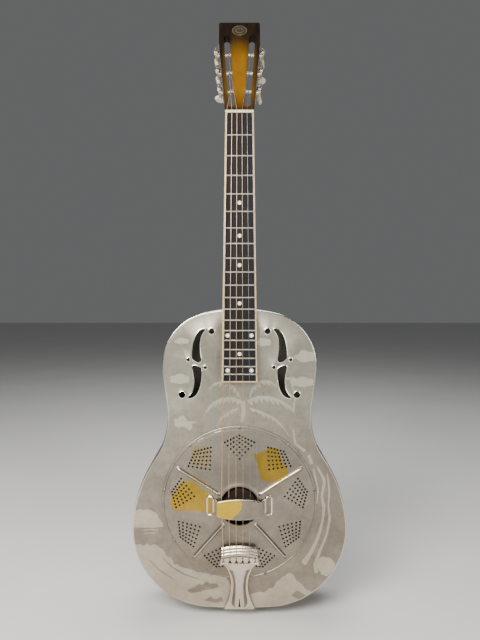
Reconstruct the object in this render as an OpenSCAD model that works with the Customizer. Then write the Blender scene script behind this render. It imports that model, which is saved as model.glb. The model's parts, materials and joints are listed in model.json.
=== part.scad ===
// Twelve-fret resonator guitar with a brass body, a single cone and a slotted head.
// The guitar stands upright: +Z runs up the neck, the front faces -Y, the bass side is -X.
// Body frame: y = 0 on the body's top sheet, z = 0 at the saddle's theoretical point.
// Neck frame: y = 0 on the fingerboard, z = 0 at the twelfth fret, tilted back.
// Head frame: y = 0 on the head's face, z = 0 behind the nut, tilted back again.

/* [Body] */
// Height of the body from its tail to the twelfth fret
body_length = 500; // [496:1:504]
// Depth of the body over its top and back sheets
body_depth = 86; // [84:1:90]
// Thickness of the brass sheet
sheet = 1.2; // [1:0.1:1.5]
// Width of the neck stick inside the body
stick_w = 34; // [30:1:36]
// Depth of the neck stick
stick_t = 26; // [22:1:26]

/* [Neck and strings] */
// Scale length from nut to saddle
scale_length = 635; // [634:0.5:636]
// Distance that the saddle is set back for intonation
compensation = 2.8; // [2.6:0.1:3]
// Angle of the neck behind the body's plane
neck_angle = 1.8; // [1.7:0.1:2.1]
// Height of the fingerboard over the top at the twelfth fret
board_height = 6.5; // [6.4:0.1:6.8]
// Thickness of the fingerboard
board_t = 5; // [4.8:0.1:5]
// Half width of the fingerboard at the nut
board_nut = 23; // [22:0.5:23.5]
// Half width of the fingerboard at its end
board_end = 29; // [28:0.5:29.5]
// Number of frets
fret_count = 19; // [17:1:19]
// Height of the strings over the body's top at the saddle
saddle_height = 22.7; // [22.5:0.1:23]

/* [Head and tuners] */
// Angle of the head behind the neck
head_tilt = 12; // [11:0.5:13]
// Length of the head behind the nut
head_length = 168; // [166:1:172]
// Thickness of the head
head_t = 15; // [15:0.5:16]
// Distance between neighbouring string posts
post_pitch = 35; // [34:0.5:35.5]
// Radius of a string post
post_r = 2.6; // [2.4:0.1:2.7]
// Number of teeth on a tuner gear
gear_teeth = 15; // [15:1:15]

/* [Cover and tailpiece] */
// Radius of the coverplate
cover_r = 128.5; // [128:0.5:129]
// Height of the hand rest over the body's top
rest_h = 30; // [30:0.5:32]
// Radius of a hole in the coverplate's grilles
grille_r = 1.5; // [1.2:0.1:1.6]

/* [Hidden] */

// Where the frames lie
button_l = 13;
tab_t = 1.5;
tail_z = 318.1 - body_length;
saddle_z = button_l + tab_t - tail_z + 0.1;
top_y = (rest_h - body_depth) / 2;
join_z = scale_length / 2;
nut_z = scale_length / 2;
nut_t = 4;
head_drop = 2.3;
cone_z = -compensation;

// Body outline: radius and sweep of each arc from the neck round to the tail, concave ones negative
outline_top_z = 318.1;
arcs = [[270, 12.5], [88, 83.4], [1150, 2.8], [-125, 42.9], [221, 31.2], [133, 90.15]];
arc_step = 3;

// Strings: radius, from the bass string to the treble one
string_r = [0.67, 0.53, 0.41, 0.3, 0.22, 0.17];
nut_spread = 41;
saddle_spread = 58;
tail_spread = 52;
nut_lift = 1.6;

// Head and tuners
head_w0 = 23.4;
side_slope = 0.085;
side_end = 130;
side_angle = atan(side_slope);
slot_w = 10;
slot_x0 = 11.8;
slot_slope = 0.07;
slot_from = 8;
slot_to = 143;
post_first = 39;
run = 0.06;
gear_from = 4.4;
gear_to = 7.6;
gear_tip = 6.6;
gear_root = 5.2;
worm_pitch = 2.5;
worm_x = 6;
worm_z = 9;
worm_r = 2.95;
worm_eccentric = 0.75;
worm_half = 5.6;
shaft_r = 1.6;
lug_from = 6;
lug_to = 7.4;
button_from = 21;
button_half = 9;
button_deep = 14;
button_t = 6.5;
button_turns = [70, 12, 8, -12, 75, -22];
plate_t = 1.2;
plate_half = 6.6;
plate_from = 22.5;
plate_to = 129;
plate_screws = [27, 59.4, 94.4, 125.5];

// Resonator
well_r = 122.4;
ledge_y = 26;
cone_r = 120.2;
cone_top = 1;
biscuit_r = 27;
biscuit_t = 9;
saddle_half = 30.4;
saddle_t = 3.2;

// Coverplate: nine screws and nine grilles at equal steps, four ribs between the grilles
cover_step = 40;
screw_ring = 125.4;
grille_outer = 113;
grille_side = 101.9;
grille_half = 24.1;
grille_inner = 74;
grille_n = 6;
rib_angles = [30, 150, 230, 310];

// Tailpiece
tail_plate_l = 86;
tail_lean = 7.6;
bar_y = 12.4;
bar_z = -182 + tail_plate_l;

// ---- Helpers ----

function rx(a, p) = [p[0], p[1] * cos(a) - p[2] * sin(a), p[1] * sin(a) + p[2] * cos(a)];
function ry(a, p) = [p[0] * cos(a) + p[2] * sin(a), p[1], p[2] * cos(a) - p[0] * sin(a)];
function neck_pt(p) = rx(-neck_angle, p) + [0, -board_height, join_z];
function head_pt(p) = neck_pt(rx(-head_tilt, p) + [0, head_drop, nut_z + nut_t]);
function side_pt(side, p) =
    let (q = ry(side_angle, p) + [head_w0, head_t / 2, 0]) head_pt([side * q[0], q[1], q[2]]);
function post_s(k) = (post_first + post_pitch * k) / cos(side_angle);
function fret_z(n) = scale_length * (pow(2, -n / 12) - 0.5);
function board_half(z) = board_nut + (board_end - board_nut) * (nut_z - z) / (nut_z - board_z);
function slot_x(s) = slot_x0 + slot_slope * s;
// Distance from the head's side in to the middle of the slot, and to a post's inner end
function slot_reach(s) = (head_w0 + side_slope * s - slot_x(s)) / cos(side_angle);
function post_inner(n) = slot_reach(post_s(tuner_row(n))) + slot_w / 2 + 7;
board_z = fret_z(fret_count) - 13;

module body_frame() { translate([0, top_y, saddle_z]) children(); }
module neck_frame() {
    body_frame() translate([0, -board_height, join_z]) rotate([-neck_angle, 0, 0]) children();
}
module head_frame() {
    neck_frame() translate([0, head_drop, nut_z + nut_t]) rotate([-head_tilt, 0, 0]) children();
}
// Side frame: x out of the head's side, y to the back, z up the side; the bass side is mirrored
module side_frame(side) {
    head_frame() mirror([side < 0 ? 1 : 0, 0, 0])
        translate([head_w0, head_t / 2, 0]) rotate([0, side_angle, 0]) children();
}
// Tuner 1 to 3 are on the bass side from the nut up, 4 to 6 on the treble side from the head's top down
function tuner_side(n) = n <= 3 ? -1 : 1;
function tuner_row(n) = n <= 3 ? n - 1 : 6 - n;
module tuner_frame(n) { side_frame(tuner_side(n)) translate([0, 0, post_s(tuner_row(n))]) children(); }

// Turns a shape drawn in x and z so that it is extruded from y0 to y1
module plate_xz(y0, y1) { translate([0, y1, 0]) rotate([90, 0, 0]) linear_extrude(y1 - y0) children(); }
// A revolved shape, drawn as radius and height in front of the body's top, about the cone's axis
module about_cone() { body_frame() translate([0, 0, cone_z]) rotate([90, 0, 0]) children(); }

function bezier(a, b, c, d, n) = [for (i = [0:n - 1]) let (t = i / n, u = 1 - t)
    u * u * u * a + 3 * u * u * t * b + 3 * u * t * t * c + t * t * t * d];

// Points of the body's outline from the neck to the last arc's start, moved inwards by d
function walk(i, p, a, d) = i == len(arcs) ? [[p, a]] :
    let (r = arcs[i][0] - d,
         turn = arcs[i][0] > 0 ? arcs[i][1] : -arcs[i][1],
         n = ceil(arcs[i][1] / arc_step),
         c = p + r * [sin(a), -cos(a)],
         pts = [for (k = [1:n]) let (b = a - turn * k / n) [c + r * [-sin(b), cos(b)], b]])
    concat(pts, walk(i + 1, pts[n - 1][0], a - turn, d));
function half_outline(d) =
    let (w = walk(0, [0, outline_top_z - d], 0, d),
         side = [for (q = w) q[0]],
         last = w[len(w) - 1],
         r = last[0][0] / sin(180 + last[1]),
         n = 4)
    concat([[0, outline_top_z - d]], side,
        [for (k = [1:n]) last[0] + r * [sin((180 + last[1]) * (1 - k / n)) - sin(180 + last[1]),
                                         cos(180 + last[1]) - cos((180 + last[1]) * (1 - k / n))]]);
module outline(d) {
    pts = half_outline(d);
    n = len(pts);
    polygon(concat(pts, [for (i = [n - 2:-1:1]) [-pts[i][0], pts[i][1]]]));
}

// A round wire through points, its straight stretches overlapping a little at each bend
module wire(pts, r) {
    for (i = [0:len(pts) - 2]) {
        d = pts[i + 1] - pts[i];
        l = norm(d);
        translate(pts[i] - 0.3 * r * d / l)
            rotate([0, acos(d[2] / l), atan2(d[1], d[0])]) cylinder(h = l + 0.6 * r, r = r, $fn = 24);
    }
}

// A round tube through points, each ring square to the way between its neighbours
module tube(pts, r) {
    n = len(pts);
    m = 12;
    rings = [for (i = [0:n - 1])
        let (d = pts[min(i + 1, n - 1)] - pts[max(i - 1, 0)],
             t = d / norm(d),
             w = cross(t, [1, 0, 0]),
             v = w / norm(w),
             u = cross(v, t))
        for (k = [0:m - 1]) pts[i] + r * (cos(360 * k / m) * u + sin(360 * k / m) * v)];
    walls = [for (i = [0:n - 2], k = [0:m - 1])
        [(i + 1) * m + k, (i + 1) * m + (k + 1) % m, i * m + (k + 1) % m, i * m + k]];
    polyhedron(points = rings, convexity = 4,
        faces = concat([[for (k = [0:m - 1]) k]], walls, [[for (k = [m - 1:-1:0]) (n - 1) * m + k]]));
}

// A screw with a low round head; its shank points along -z, the head stands on z = 0
module screw(head_r, head_h, shank_r, length) {
    difference() {
        intersection() {
            translate([0, 0, head_h - 1.6 * head_r]) sphere(r = 1.6 * head_r, $fn = 48);
            cylinder(h = head_h + 1, r = head_r, $fn = 36);
        }
        translate([-head_r - 1, -0.35, head_h - 0.7]) cube([2 * head_r + 2, 0.7, 2]);
    }
    translate([0, 0, -length]) cylinder(h = length, r = shank_r, $fn = 24);
}

// ---- Body ----

// One half of an f-shaped sound hole: its limb, its round end and its notch dot
module f_half() {
    polygon(concat(
        bezier([11.5, 58], [-2, 58], [-8.2, 38], [-8.7, 9.5], 8),
        bezier([-8.7, 9.5], [-6, 5.5], [4, -2], [7, 6], 5),
        bezier([7, 6], [4, 24], [1, 44], [13.5, 56], 8),
        bezier([13.5, 56], [14.5, 57.2], [13.2, 58.4], [11.5, 58], 3)));
    translate([24.2, 53.4]) circle(r = 4.8, $fn = 36);
    translate([-13.5, 6.7]) circle(r = 2.6, $fn = 24);
}
module f_hole() {
    translate([-69.2, 227.5]) {
        f_half();
        rotate(180) f_half();
    }
}
module body_top() {
    color("silver") difference() {
        body_frame() plate_xz(0, sheet) {
            difference() {
                outline(0);
                translate([0, cone_z]) circle(r = well_r, $fn = 120);
                f_hole();
                mirror([1, 0]) f_hole();
            }
        }
        cover_screw_places() translate([0, 0, -5]) cylinder(h = 8, r = 1.45, $fn = 24);
        board_screw_places() translate([0, 0, -16]) cylinder(h = 16, r = 1.7, $fn = 24);
    }
}
module body_sides() {
    color("silver") difference() {
        body_frame() plate_xz(sheet, body_depth - sheet) {
            difference() {
                outline(0);
                outline(sheet);
            }
        }
        tenon(0.1);
        tail_screw_places() translate([0, 0, -9]) cylinder(h = 9, r = 1.5, $fn = 24);
        strap_button_place() translate([0, 0, -9]) cylinder(h = 9, r = 3, $fn = 36);
    }
}
module body_back() {
    color("silver") body_frame() plate_xz(body_depth - sheet, body_depth) outline(0);
}
module resonator_well() {
    color("darkgray") difference() {
        about_cone() rotate_extrude($fn = 120)
            polygon([[well_r, 0], [well_r, -sheet], [well_r + 1.4, -sheet], [well_r + 1.4, -2.2],
                [well_r, -2.2], [well_r, -ledge_y - sheet], [113, -ledge_y - sheet], [113, -ledge_y],
                [well_r - sheet, -ledge_y], [well_r - sheet, 0]]);
        about_cone() for (a = [0:30:330]) rotate([0, 0, a + 15]) translate([well_r - 10, 0, -13.5])
            rotate([0, 90, 0]) cylinder(h = 20, r = 7, $fn = 36);
    }
}
stick_y = 31;
stick_end = 316.2;
// The stick's tenon through the body's wall into the heel
module tenon(grow) {
    body_frame() translate([-9 - grow, stick_y + 1 - grow, stick_end - 1])
        cube([18 + 2 * grow, 10 + 2 * grow, 6.8 + grow]);
}
module neck_stick() {
    color("burlywood") {
        body_frame() translate([-stick_w / 2, stick_y, tail_z + 22])
            cube([stick_w, stick_t, stick_end - tail_z - 22]);
        tenon(0);
    }
}
module end_block() {
    color("burlywood") difference() {
        body_frame() plate_xz(sheet, body_depth - sheet) intersection() {
            outline(sheet);
            translate([-32, tail_z - 1]) square([64, 23]);
        }
        tail_screw_places() translate([0, 0, -17]) cylinder(h = 17, r = 1.5, $fn = 24);
        strap_button_place() translate([0, 0, -17]) cylinder(h = 17, r = 3, $fn = 36);
    }
}
module stick_supports() {
    color("burlywood") body_frame() for (z = [-100, 60])
        translate([-stick_w / 2, stick_y + stick_t, z])
            cube([stick_w, body_depth - sheet - stick_y - stick_t, 25]);
}

// ---- Resonator ----

module resonator_cone() {
    color("gainsboro") about_cone() rotate_extrude($fn = 120)
        polygon([[1.6, -cone_top], [29, -cone_top], [31, -cone_top - 1], [117, -24.6],
            [cone_r, -24.6], [cone_r, -ledge_y], [116.6, -ledge_y], [30.4, -cone_top - 1.7],
            [28.6, -cone_top - 0.6], [1.6, -cone_top - 0.6]]);
}
module biscuit() {
    color("saddlebrown") difference() {
        about_cone() translate([0, 0, -cone_top]) cylinder(h = biscuit_t, r = biscuit_r, $fn = 90);
        about_cone() translate([-saddle_half - 1, -saddle_t / 2, biscuit_t - cone_top - 3.5])
            cube([2 * saddle_half + 2, saddle_t, 10]);
        about_cone() translate([0, 0, -5]) cylinder(h = 8.5, r = 1.5, $fn = 24);
    }
}
module biscuit_screw() {
    color("dimgray") about_cone() translate([0, 0, -cone_top - 0.6]) rotate([180, 0, 0])
        screw(3.2, 1.8, 1.5, 4.9);
}
module saddle() {
    color("wheat") difference() {
        about_cone() translate([-saddle_half, -saddle_t / 2, 0]) {
            difference() {
                translate([0, 0, biscuit_t - cone_top - 3.5])
                    cube([2 * saddle_half, saddle_t, saddle_height - biscuit_t + cone_top + 3.7]);
                for (x = [-1, 2 * saddle_half - 2.8])
                    translate([x, -1, -1]) cube([3.8, 5, biscuit_t - cone_top + 1]);
            }
        }
        for (n = [1:6]) string_path(n, 0.05);
    }
}

// ---- Coverplate and hand rest ----

module cover_screw_places() {
    about_cone() for (k = [0:8]) rotate([0, 0, 90 + cover_step * k])
        translate([screw_ring, 0, 2]) children();
}
// The holes of one grille, spread evenly between the corners of a kite
module grille() {
    outer = [grille_outer, 0];
    inner = [grille_inner, 0];
    left = [grille_side, grille_half];
    right = [grille_side, -grille_half];
    for (i = [0:grille_n - 1], j = [0:grille_n - 1]) {
        u = i / (grille_n - 1);
        v = j / (grille_n - 1);
        translate((1 - u) * (1 - v) * outer + u * (1 - v) * left + (1 - u) * v * right + u * v * inner)
            circle(r = grille_r, $fn = 16);
    }
}
module coverplate() {
    color("silver") difference() {
        about_cone() {
            difference() {
                rotate_extrude($fn = 120)
                    polygon([[31.4, 12.6], [31.4, 14.2], [32, 14.8], [33.2, 14.6], [36, 13.4], [68, 6],
                        [115.4, 6], [121.8, 2], [126.2, 2], [127, 2.6], [cover_r - 0.6, 2.3],
                        [cover_r, 1.5], [cover_r, 0], [cover_r - 1, 0], [cover_r - 1.4, 1.1],
                        [121.4, 1], [115, 5], [67.8, 5], [35.6, 12.4], [33, 13.3], [32.4, 12.6]]);
                linear_extrude(20) for (k = [0:8]) rotate(90 + cover_step * k) grille();
            }
            for (a = rib_angles) rotate([0, 0, a]) rib();
        }
        cover_screw_places() translate([0, 0, -4]) cylinder(h = 4.5, r = 1.5, $fn = 24);
        cover_screw_places() translate([0, 0, -0.04]) cylinder(h = 3, r = 2.5, $fn = 36);
    }
}
// A raised rib along +x that follows the cover's slope
module rib() {
    rotate([90, 0, 0]) {
        translate([0, 0, -2.3]) linear_extrude(4.6)
            polygon([[38, 12.4], [38.6, 14.1], [68.4, 7.2], [115.8, 7.2], [120.8, 3.8], [120.6, 2],
                [115.1, 5.4], [68, 5.4]]);
        translate([0, 0, -1.3]) linear_extrude(2.6)
            polygon([[38.6, 13.2], [40, 15.2], [68.8, 8.6], [116, 8.6], [120, 5.4], [119.6, 3.2],
                [115.1, 6], [68, 6]]);
    }
}
module coverplate_screws() {
    color("gainsboro") cover_screw_places() screw(2.4, 1.5, 1.4, 7);
}
module hand_rest() {
    skin = 1.4;
    h = rest_h;
    color("silver") about_cone() intersection() {
        rotate([90, 0, 0]) translate([0, 0, -25]) linear_extrude(50)
            polygon(concat(
                [[-54.5, 9.5], [-54.5, 10.9], [-42.4, 13.9], [-37.6, h - 2.6], [-35.4, h - 0.8]],
                [for (a = [-30:10:30]) [a, h - 0.5 * a * a / 900]],
                [[35.4, h - 0.8], [37.6, h - 2.6], [42.4, 13.9], [54.5, 10.9], [54.5, 9.5],
                 [41.3, 12.6], [36.2, h - 3.4], [34.6, h - 0.9 - skin]],
                [for (a = [30:-10:-30]) [a, h - skin - 0.5 * a * a / 900]],
                [[-34.6, h - 0.9 - skin], [-36.2, h - 3.4], [-41.3, 12.6]]));
        linear_extrude(40) {
            intersection() {
                translate([0, 122.8]) circle(r = 140, $fn = 180);
                translate([0, -122.8]) circle(r = 140, $fn = 180);
                square([84, 60], center = true);
            }
            for (s = [-1, 1]) translate([s * 48, 0]) foot_outline();
        }
    }
}
// Outline of a foot pad with rounded corners
module foot_outline() {
    square([13, 22], center = true);
    square([5, 33], center = true);
    for (x = [-1, 1], z = [-1, 1]) translate([x * 1.5, z * 11.5]) circle(r = 5, $fn = 32);
}

// ---- Tailpiece ----

module tail_screw_places() {
    body_frame() for (x = [-15, 15])
        translate([x, 13, tail_z - tab_t - 0.1]) rotate([180, 0, 0]) children();
}
module strap_button_place() {
    body_frame() translate([0, 27, tail_z - tab_t - 0.1]) rotate([180, 0, 0]) children();
}
// Frame of the tailpiece's leaning plate: y = 0 under it at the body's rim
module lean_frame() { body_frame() translate([0, -0.8, tail_z]) rotate([tail_lean, 0, 0]) children(); }
module tail_plate_outline() {
    half = concat(
        bezier([25.5, -1.6], [21, 12], [13.6, 24], [13.6, 46], 8),
        bezier([13.6, 46], [13.6, 62], [18, 78], [31.5, tail_plate_l], 8),
        [[31.5, tail_plate_l]]);
    n = len(half);
    polygon(concat(half, [for (i = [n - 1:-1:0]) [-half[i][0], half[i][1]]]));
}
// The string bar and its ridges bend round a centre far below them
bar_bend = 112;
module bar_ring(r0, r1, half0, half1) {
    intersection() {
        difference() {
            circle(r = r1, $fn = 240);
            circle(r = r0, $fn = 240);
        }
        polygon([[-half0, r0 - 8], [half0, r0 - 8], [half1, r1 + 1], [-half1, r1 + 1]]);
    }
}
module tailpiece() {
    color("silver") difference() {
        union() {
            // Leaning plate with its raised spine
            lean_frame() {
                plate_xz(-1.5, 0) tail_plate_outline();
                hull() {
                    translate([0, -1, 14]) scale([1, 0.42, 1]) sphere(r = 10.8, $fn = 32);
                    translate([0, -1, 46]) scale([1, 0.45, 1]) sphere(r = 8.4, $fn = 32);
                }
                hull() {
                    translate([0, -1, 46]) scale([1, 0.45, 1]) sphere(r = 8.4, $fn = 32);
                    translate([-17, -4, 80]) cube([34, 3.2, 3]);
                }
            }
            // String bar, lying flat over the cover, and three ridges on it
            body_frame() translate([0, 0, bar_z + 10 - bar_bend]) {
                plate_xz(-bar_y - 1.6, -bar_y) bar_ring(bar_bend - 11, bar_bend + 17, 33.5, 29.6);
                plate_xz(-bar_y - 2.4, -bar_y) bar_ring(bar_bend - 11, bar_bend, 33.5, 32.1);
                for (r = [4, 9, 14])
                    plate_xz(-bar_y - 2.5, -bar_y) bar_ring(bar_bend + r - 1.3, bar_bend + r + 1.3, 32, 31);
            }
            // Tab over the body's rim
            body_frame() translate([0, 0, tail_z - tab_t - 0.1]) linear_extrude(tab_t)
                polygon(concat([[-25.5, -2.3], [25.5, -2.3], [25.5, 18]],
                    [for (a = [10:10:90]) [25.5 * cos(a), 18 + 20 * sin(a)]],
                    [for (a = [100:10:170]) [25.5 * cos(a), 18 + 20 * sin(a)]], [[-25.5, 18]]));
        }
        lean_frame() {
            translate([-0.8, -7, 10]) cube([1.6, 5, 14]);
            translate([0, -2, 10]) rotate([90, 0, 0]) cylinder(h = 5, r = 1.6, $fn = 24);
        }
        body_frame() translate([-20, -0.3, tail_z + 1]) cube([40, 8, 60]);
        tail_screw_places() translate([0, 0, -3]) cylinder(h = 8, r = 1.6, $fn = 24);
        strap_button_place() translate([0, 0, -3]) cylinder(h = 3.2, r = 3.1, $fn = 36);
        for (n = [1:6]) keyhole(n);
    }
}
// A string's keyhole slot through the bar
module keyhole(n) {
    body_frame() translate([string_x(n, tail_spread), 0, bar_z]) {
        plate_xz(-20, -5) circle(r = 2.1, $fn = 24);
        translate([-0.95, -20, 0]) cube([1.9, 15, 8.5]);
    }
}
module tailpiece_screws() {
    color("gainsboro") tail_screw_places() screw(3, 1.6, 1.45, 15);
}
module strap_button() {
    color("ivory") strap_button_place() {
        rotate_extrude($fn = 60)
            polygon(concat([[0, 0], [6.5, 0]],
                bezier([6.5, 1], [4, 3], [3.8, 7], [7.5, 9.5], 8),
                [[7.5, 9.5], [7.5, 11], [6.2, 12.6], [4, button_l], [0, button_l]]));
        translate([0, 0, -16]) cylinder(h = 16.5, r = 2.95, $fn = 36);
    }
}

// ---- Neck ----

module neck_slice(z, half, depth) {
    translate([0, board_t, z]) linear_extrude(0.5) intersection() {
        scale([1, depth / half]) circle(r = half, $fn = 40);
        translate([-half, 0]) square([2 * half, depth]);
    }
}
module head_outline() {
    half = [[0, head_w0], [side_end, head_w0 + side_slope * side_end], [head_length - 3, 34.6],
        [head_length - 0.8, 33.8], [head_length, 31.8]];
    n = len(half);
    polygon(concat([for (i = [0:n - 1]) [half[i][1], half[i][0]]],
        [for (i = [n - 1:-1:0]) [-half[i][1], half[i][0]]]));
}
// A head slot with round ends, leaning with the head's taper
module head_slot() {
    lean = atan(slot_slope);
    length = (slot_to - slot_from - slot_w) / cos(lean);
    translate([slot_x(slot_from + slot_w / 2), slot_from + slot_w / 2]) rotate(-lean) {
        circle(r = slot_w / 2, $fn = 36);
        translate([-slot_w / 2, 0]) square([slot_w, length]);
        translate([0, length]) circle(r = slot_w / 2, $fn = 36);
    }
}
module bar_channel(grow) {
    neck_frame() translate([-4.5 - grow, board_t, 8]) cube([9 + 2 * grow, 8 + grow, 296]);
}
module neck() {
    color("saddlebrown") difference() {
        union() {
            neck_frame() {
                hull() {
                    neck_slice(306, board_half(306), 15);
                    neck_slice(50, board_half(50), 19);
                }
                hull() {
                    neck_slice(50, board_half(50), 19);
                    neck_slice(16, board_half(16), 27);
                }
                hull() {
                    neck_slice(16, board_half(16), 27);
                    neck_slice(4, board_half(0), 50);
                    neck_slice(-3.5, board_half(0), 64);
                }
            }
            hull() {
                neck_frame() neck_slice(306, board_half(306), 15);
                head_frame() translate([-head_w0 - 0.3, 0.06, 5]) cube([2 * head_w0 + 0.6, head_t - 0.12, 0.5]);
            }
            head_frame() difference() {
                plate_xz(0, head_t) head_outline();
                plate_xz(-1, head_t + 1) {
                    head_slot();
                    mirror([1, 0]) head_slot();
                }
            }
        }
        // The nut's seat, the body, the stick's socket and the reinforcing bar's channel
        neck_frame() translate([-30, -5, 290]) cube([60, board_t + 5, nut_z + nut_t - 289.9]);
        body_frame() plate_xz(-1, body_depth + 10) outline(0);
        // Relief at each slot's nut end for the outer strings
        head_frame() for (x = [-19.6, 15]) translate([x, -1, 9]) cube([4.6, 2.8, 16]);
        tenon(0.05);
        bar_channel(0.05);
        for (n = [1:6]) tuner_frame(n) translate([-post_inner(n) - 0.6, 0, 0]) rotate([0, 90, 0])
            cylinder(h = post_inner(n) + 4, r = post_r + run, $fn = 36);
        plate_screw_places() translate([0, 0, -8]) cylinder(h = 8, r = 1.25, $fn = 24);
    }
}
module reinforcing_bar() {
    color("dimgray") bar_channel(0);
}
module board_outline(d) {
    polygon([[-board_half(board_z + d) + d, board_z + d], [board_half(board_z + d) - d, board_z + d],
        [board_nut - d, nut_z], [-board_nut + d, nut_z]]);
}
binding_w = 2;
module fingerboard() {
    color("black") difference() {
        neck_frame() plate_xz(0, board_t) board_outline(binding_w);
        for (n = [1:fret_count])
            neck_frame() translate([-40, -1, fret_z(n) - 0.3]) cube([80, 3, 0.6]);
        dot_places() translate([0, 0, -1.2]) cylinder(h = 2, r = dot_r + 0.02, $fn = 36);
        board_screw_places() translate([0, 0, -20]) cylinder(h = 19, r = 1.5, $fn = 24);
        board_screw_places() translate([0, 0, -3]) cylinder(h = 2, r = 2.6, $fn = 24);
    }
}
module fingerboard_binding() {
    color("ivory") neck_frame() plate_xz(0, board_t) difference() {
        board_outline(0);
        board_outline(binding_w);
    }
}
module fingerboard_shim() {
    lo = neck_pt([0, board_t, board_z + 1]);
    hi = neck_pt([0, board_t, -4.2]);
    color("saddlebrown") difference() {
        body_frame() rotate([90, 0, 90]) translate([0, 0, -21]) linear_extrude(42)
            polygon([[0, lo[2]], [0, hi[2]], [hi[1], hi[2]], [lo[1], lo[2]]]);
        board_screw_places() translate([0, 0, -20]) cylinder(h = 19, r = 1.5, $fn = 24);
    }
}
dot_r = 3.2;
single_dots = [5, 7, 9, 12, 17];
double_dots = [15, 19];
function dot_z(n) = (fret_z(n) + fret_z(n - 1)) / 2;
module at_dot(x, n) { neck_frame() translate([x, 0, dot_z(n)]) rotate([90, 0, 0]) children(); }
module dot_places() {
    for (n = single_dots) if (n <= fret_count) at_dot(0, n) children();
    for (n = double_dots, x = [-19.4, 19.4]) if (n <= fret_count) at_dot(x, n) children();
}
module position_dots() {
    color("ivory") dot_places() translate([0, 0, -1.2]) cylinder(h = 1.2, r = dot_r, $fn = 36);
}
// Four screws under the double dots hold the board's end to the body
module board_screw_places() {
    for (n = double_dots, x = [-19.4, 19.4]) at_dot(x, n) children();
}
module fingerboard_screws() {
    color("dimgray") board_screw_places() {
        translate([0, 0, -2.9]) cylinder(h = 1.6, r = 2.5, $fn = 24);
        translate([0, 0, -15]) cylinder(h = 12.5, r = 1.45, $fn = 24);
    }
}
module frets() {
    color("gainsboro") neck_frame() for (n = [1:fret_count]) {
        half = board_half(fret_z(n)) - 0.4;
        translate([0, 0, fret_z(n)]) rotate([0, 90, 0]) {
            linear_extrude(2 * half, center = true) intersection() {
                circle(r = 1.2, $fn = 24);
                translate([-2, -2]) square([4, 2]);
            }
            translate([-0.27, 0, -half + binding_w]) cube([0.54, 1.8, 2 * half - 2 * binding_w]);
        }
    }
}
// A string's straight slot through the nut
module nut_slot(n) {
    pts = string_points(n);
    way = (pts[4] - pts[3]) / norm(pts[4] - pts[3]);
    body_frame() wire([pts[3] - 2 * way, pts[4] + 2 * way], string_r[n - 1] + 0.08);
}
module nut() {
    color("ivory") difference() {
        neck_frame() translate([-board_nut, -nut_lift - 0.5, nut_z])
            cube([2 * board_nut, board_t + nut_lift + 0.5, nut_t]);
        for (n = [1:6]) nut_slot(n);
    }
}

// ---- Tuners ----

module plate_screw_places() {
    for (side = [-1, 1], s = plate_screws)
        side_frame(side) translate([plate_t, 0, s]) rotate([0, 90, 0]) children();
}
// A plate with a pair of bearing lugs for each worm
module tuner_plate(side) {
    color("gainsboro") difference() {
        side_frame(side) {
            translate([0, -plate_half, plate_from]) cube([plate_t, 2 * plate_half, plate_to - plate_from]);
            for (k = [0:2], w = [-lug_to, lug_from])
                translate([0, w, post_s(k) + worm_z - 3.4]) cube([worm_x + 2.8, lug_to - lug_from, 6.8]);
        }
        for (k = [0:2]) side_frame(side) {
            translate([-1, 0, post_s(k)]) rotate([0, 90, 0]) cylinder(h = 4, r = post_r + run, $fn = 36);
            translate([worm_x, -10, post_s(k) + worm_z]) rotate([-90, 0, 0])
                cylinder(h = 20, r = shaft_r + run, $fn = 36);
        }
        plate_screw_places() translate([0, 0, -3]) cylinder(h = 4, r = 1.35, $fn = 24);
    }
}
module tuner_plate_bass() { tuner_plate(-1); }
module tuner_plate_treble() { tuner_plate(1); }
module tuner_plate_screws() {
    color("gainsboro") plate_screw_places() screw(2.4, 1.2, 1.2, 6.5);
}
// A post across its slot, with a collar outside the plate and a spigot for the gear
module string_post(n) {
    color("gainsboro") difference() {
        tuner_frame(n) rotate([0, 90, 0]) {
            translate([0, 0, -post_inner(n)]) cylinder(h = post_inner(n) + gear_from, r = post_r, $fn = 36);
            translate([0, 0, plate_t + 0.3]) cylinder(h = gear_from - plate_t - 0.3, r = 3.8, $fn = 36);
            cylinder(h = gear_to, r = 2, $fn = 36);
        }
        tuner_frame(n) translate([-slot_reach(post_s(tuner_row(n))), -5, 0]) rotate([-90, 0, 0])
            cylinder(h = 10, r = 0.8, $fn = 24);
        tuner_frame(n) rotate([0, 90, 0]) cylinder(h = 10, r = 1.1, $fn = 24);
    }
}
// A gear with pointed teeth, one of them on the line to the worm, and the screw that holds it
module tuner_gear(n) {
    tip = 1.5;
    base = 8.5;
    tooth = [[gear_root, -base], [gear_tip, -tip], [gear_tip, tip], [gear_root, base]];
    color("goldenrod") tuner_frame(n) {
        rotate([0, 90, 0]) translate([0, 0, gear_from]) linear_extrude(gear_to - gear_from) difference() {
            rotate(180) polygon([for (i = [0:gear_teeth - 1], q = tooth)
                q[0] * [cos(360 * i / gear_teeth + q[1]), sin(360 * i / gear_teeth + q[1])]]);
            circle(r = 2, $fn = 36);
        }
        translate([gear_to, 0, 0]) rotate([0, 90, 0]) screw(3, 1.3, 1.1, 5);
    }
}
// A worm on its shaft; its hollow side faces the gear at rest
module worm_shaft(n) {
    turns = 2 * worm_half / worm_pitch;
    color("gainsboro") tuner_frame(n) translate([worm_x, 0, worm_z]) rotate([-90, 0, 0]) {
        translate([0, 0, -worm_half]) rotate(180 * turns)
            linear_extrude(2 * worm_half, twist = 360 * turns, slices = 45)
                translate([0, -worm_eccentric]) circle(r = worm_r, $fn = 14);
        translate([0, 0, -lug_to - 0.9])
            cylinder(h = button_from + 9 + lug_to + 0.9, r = shaft_r, $fn = 36);
    }
}
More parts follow.
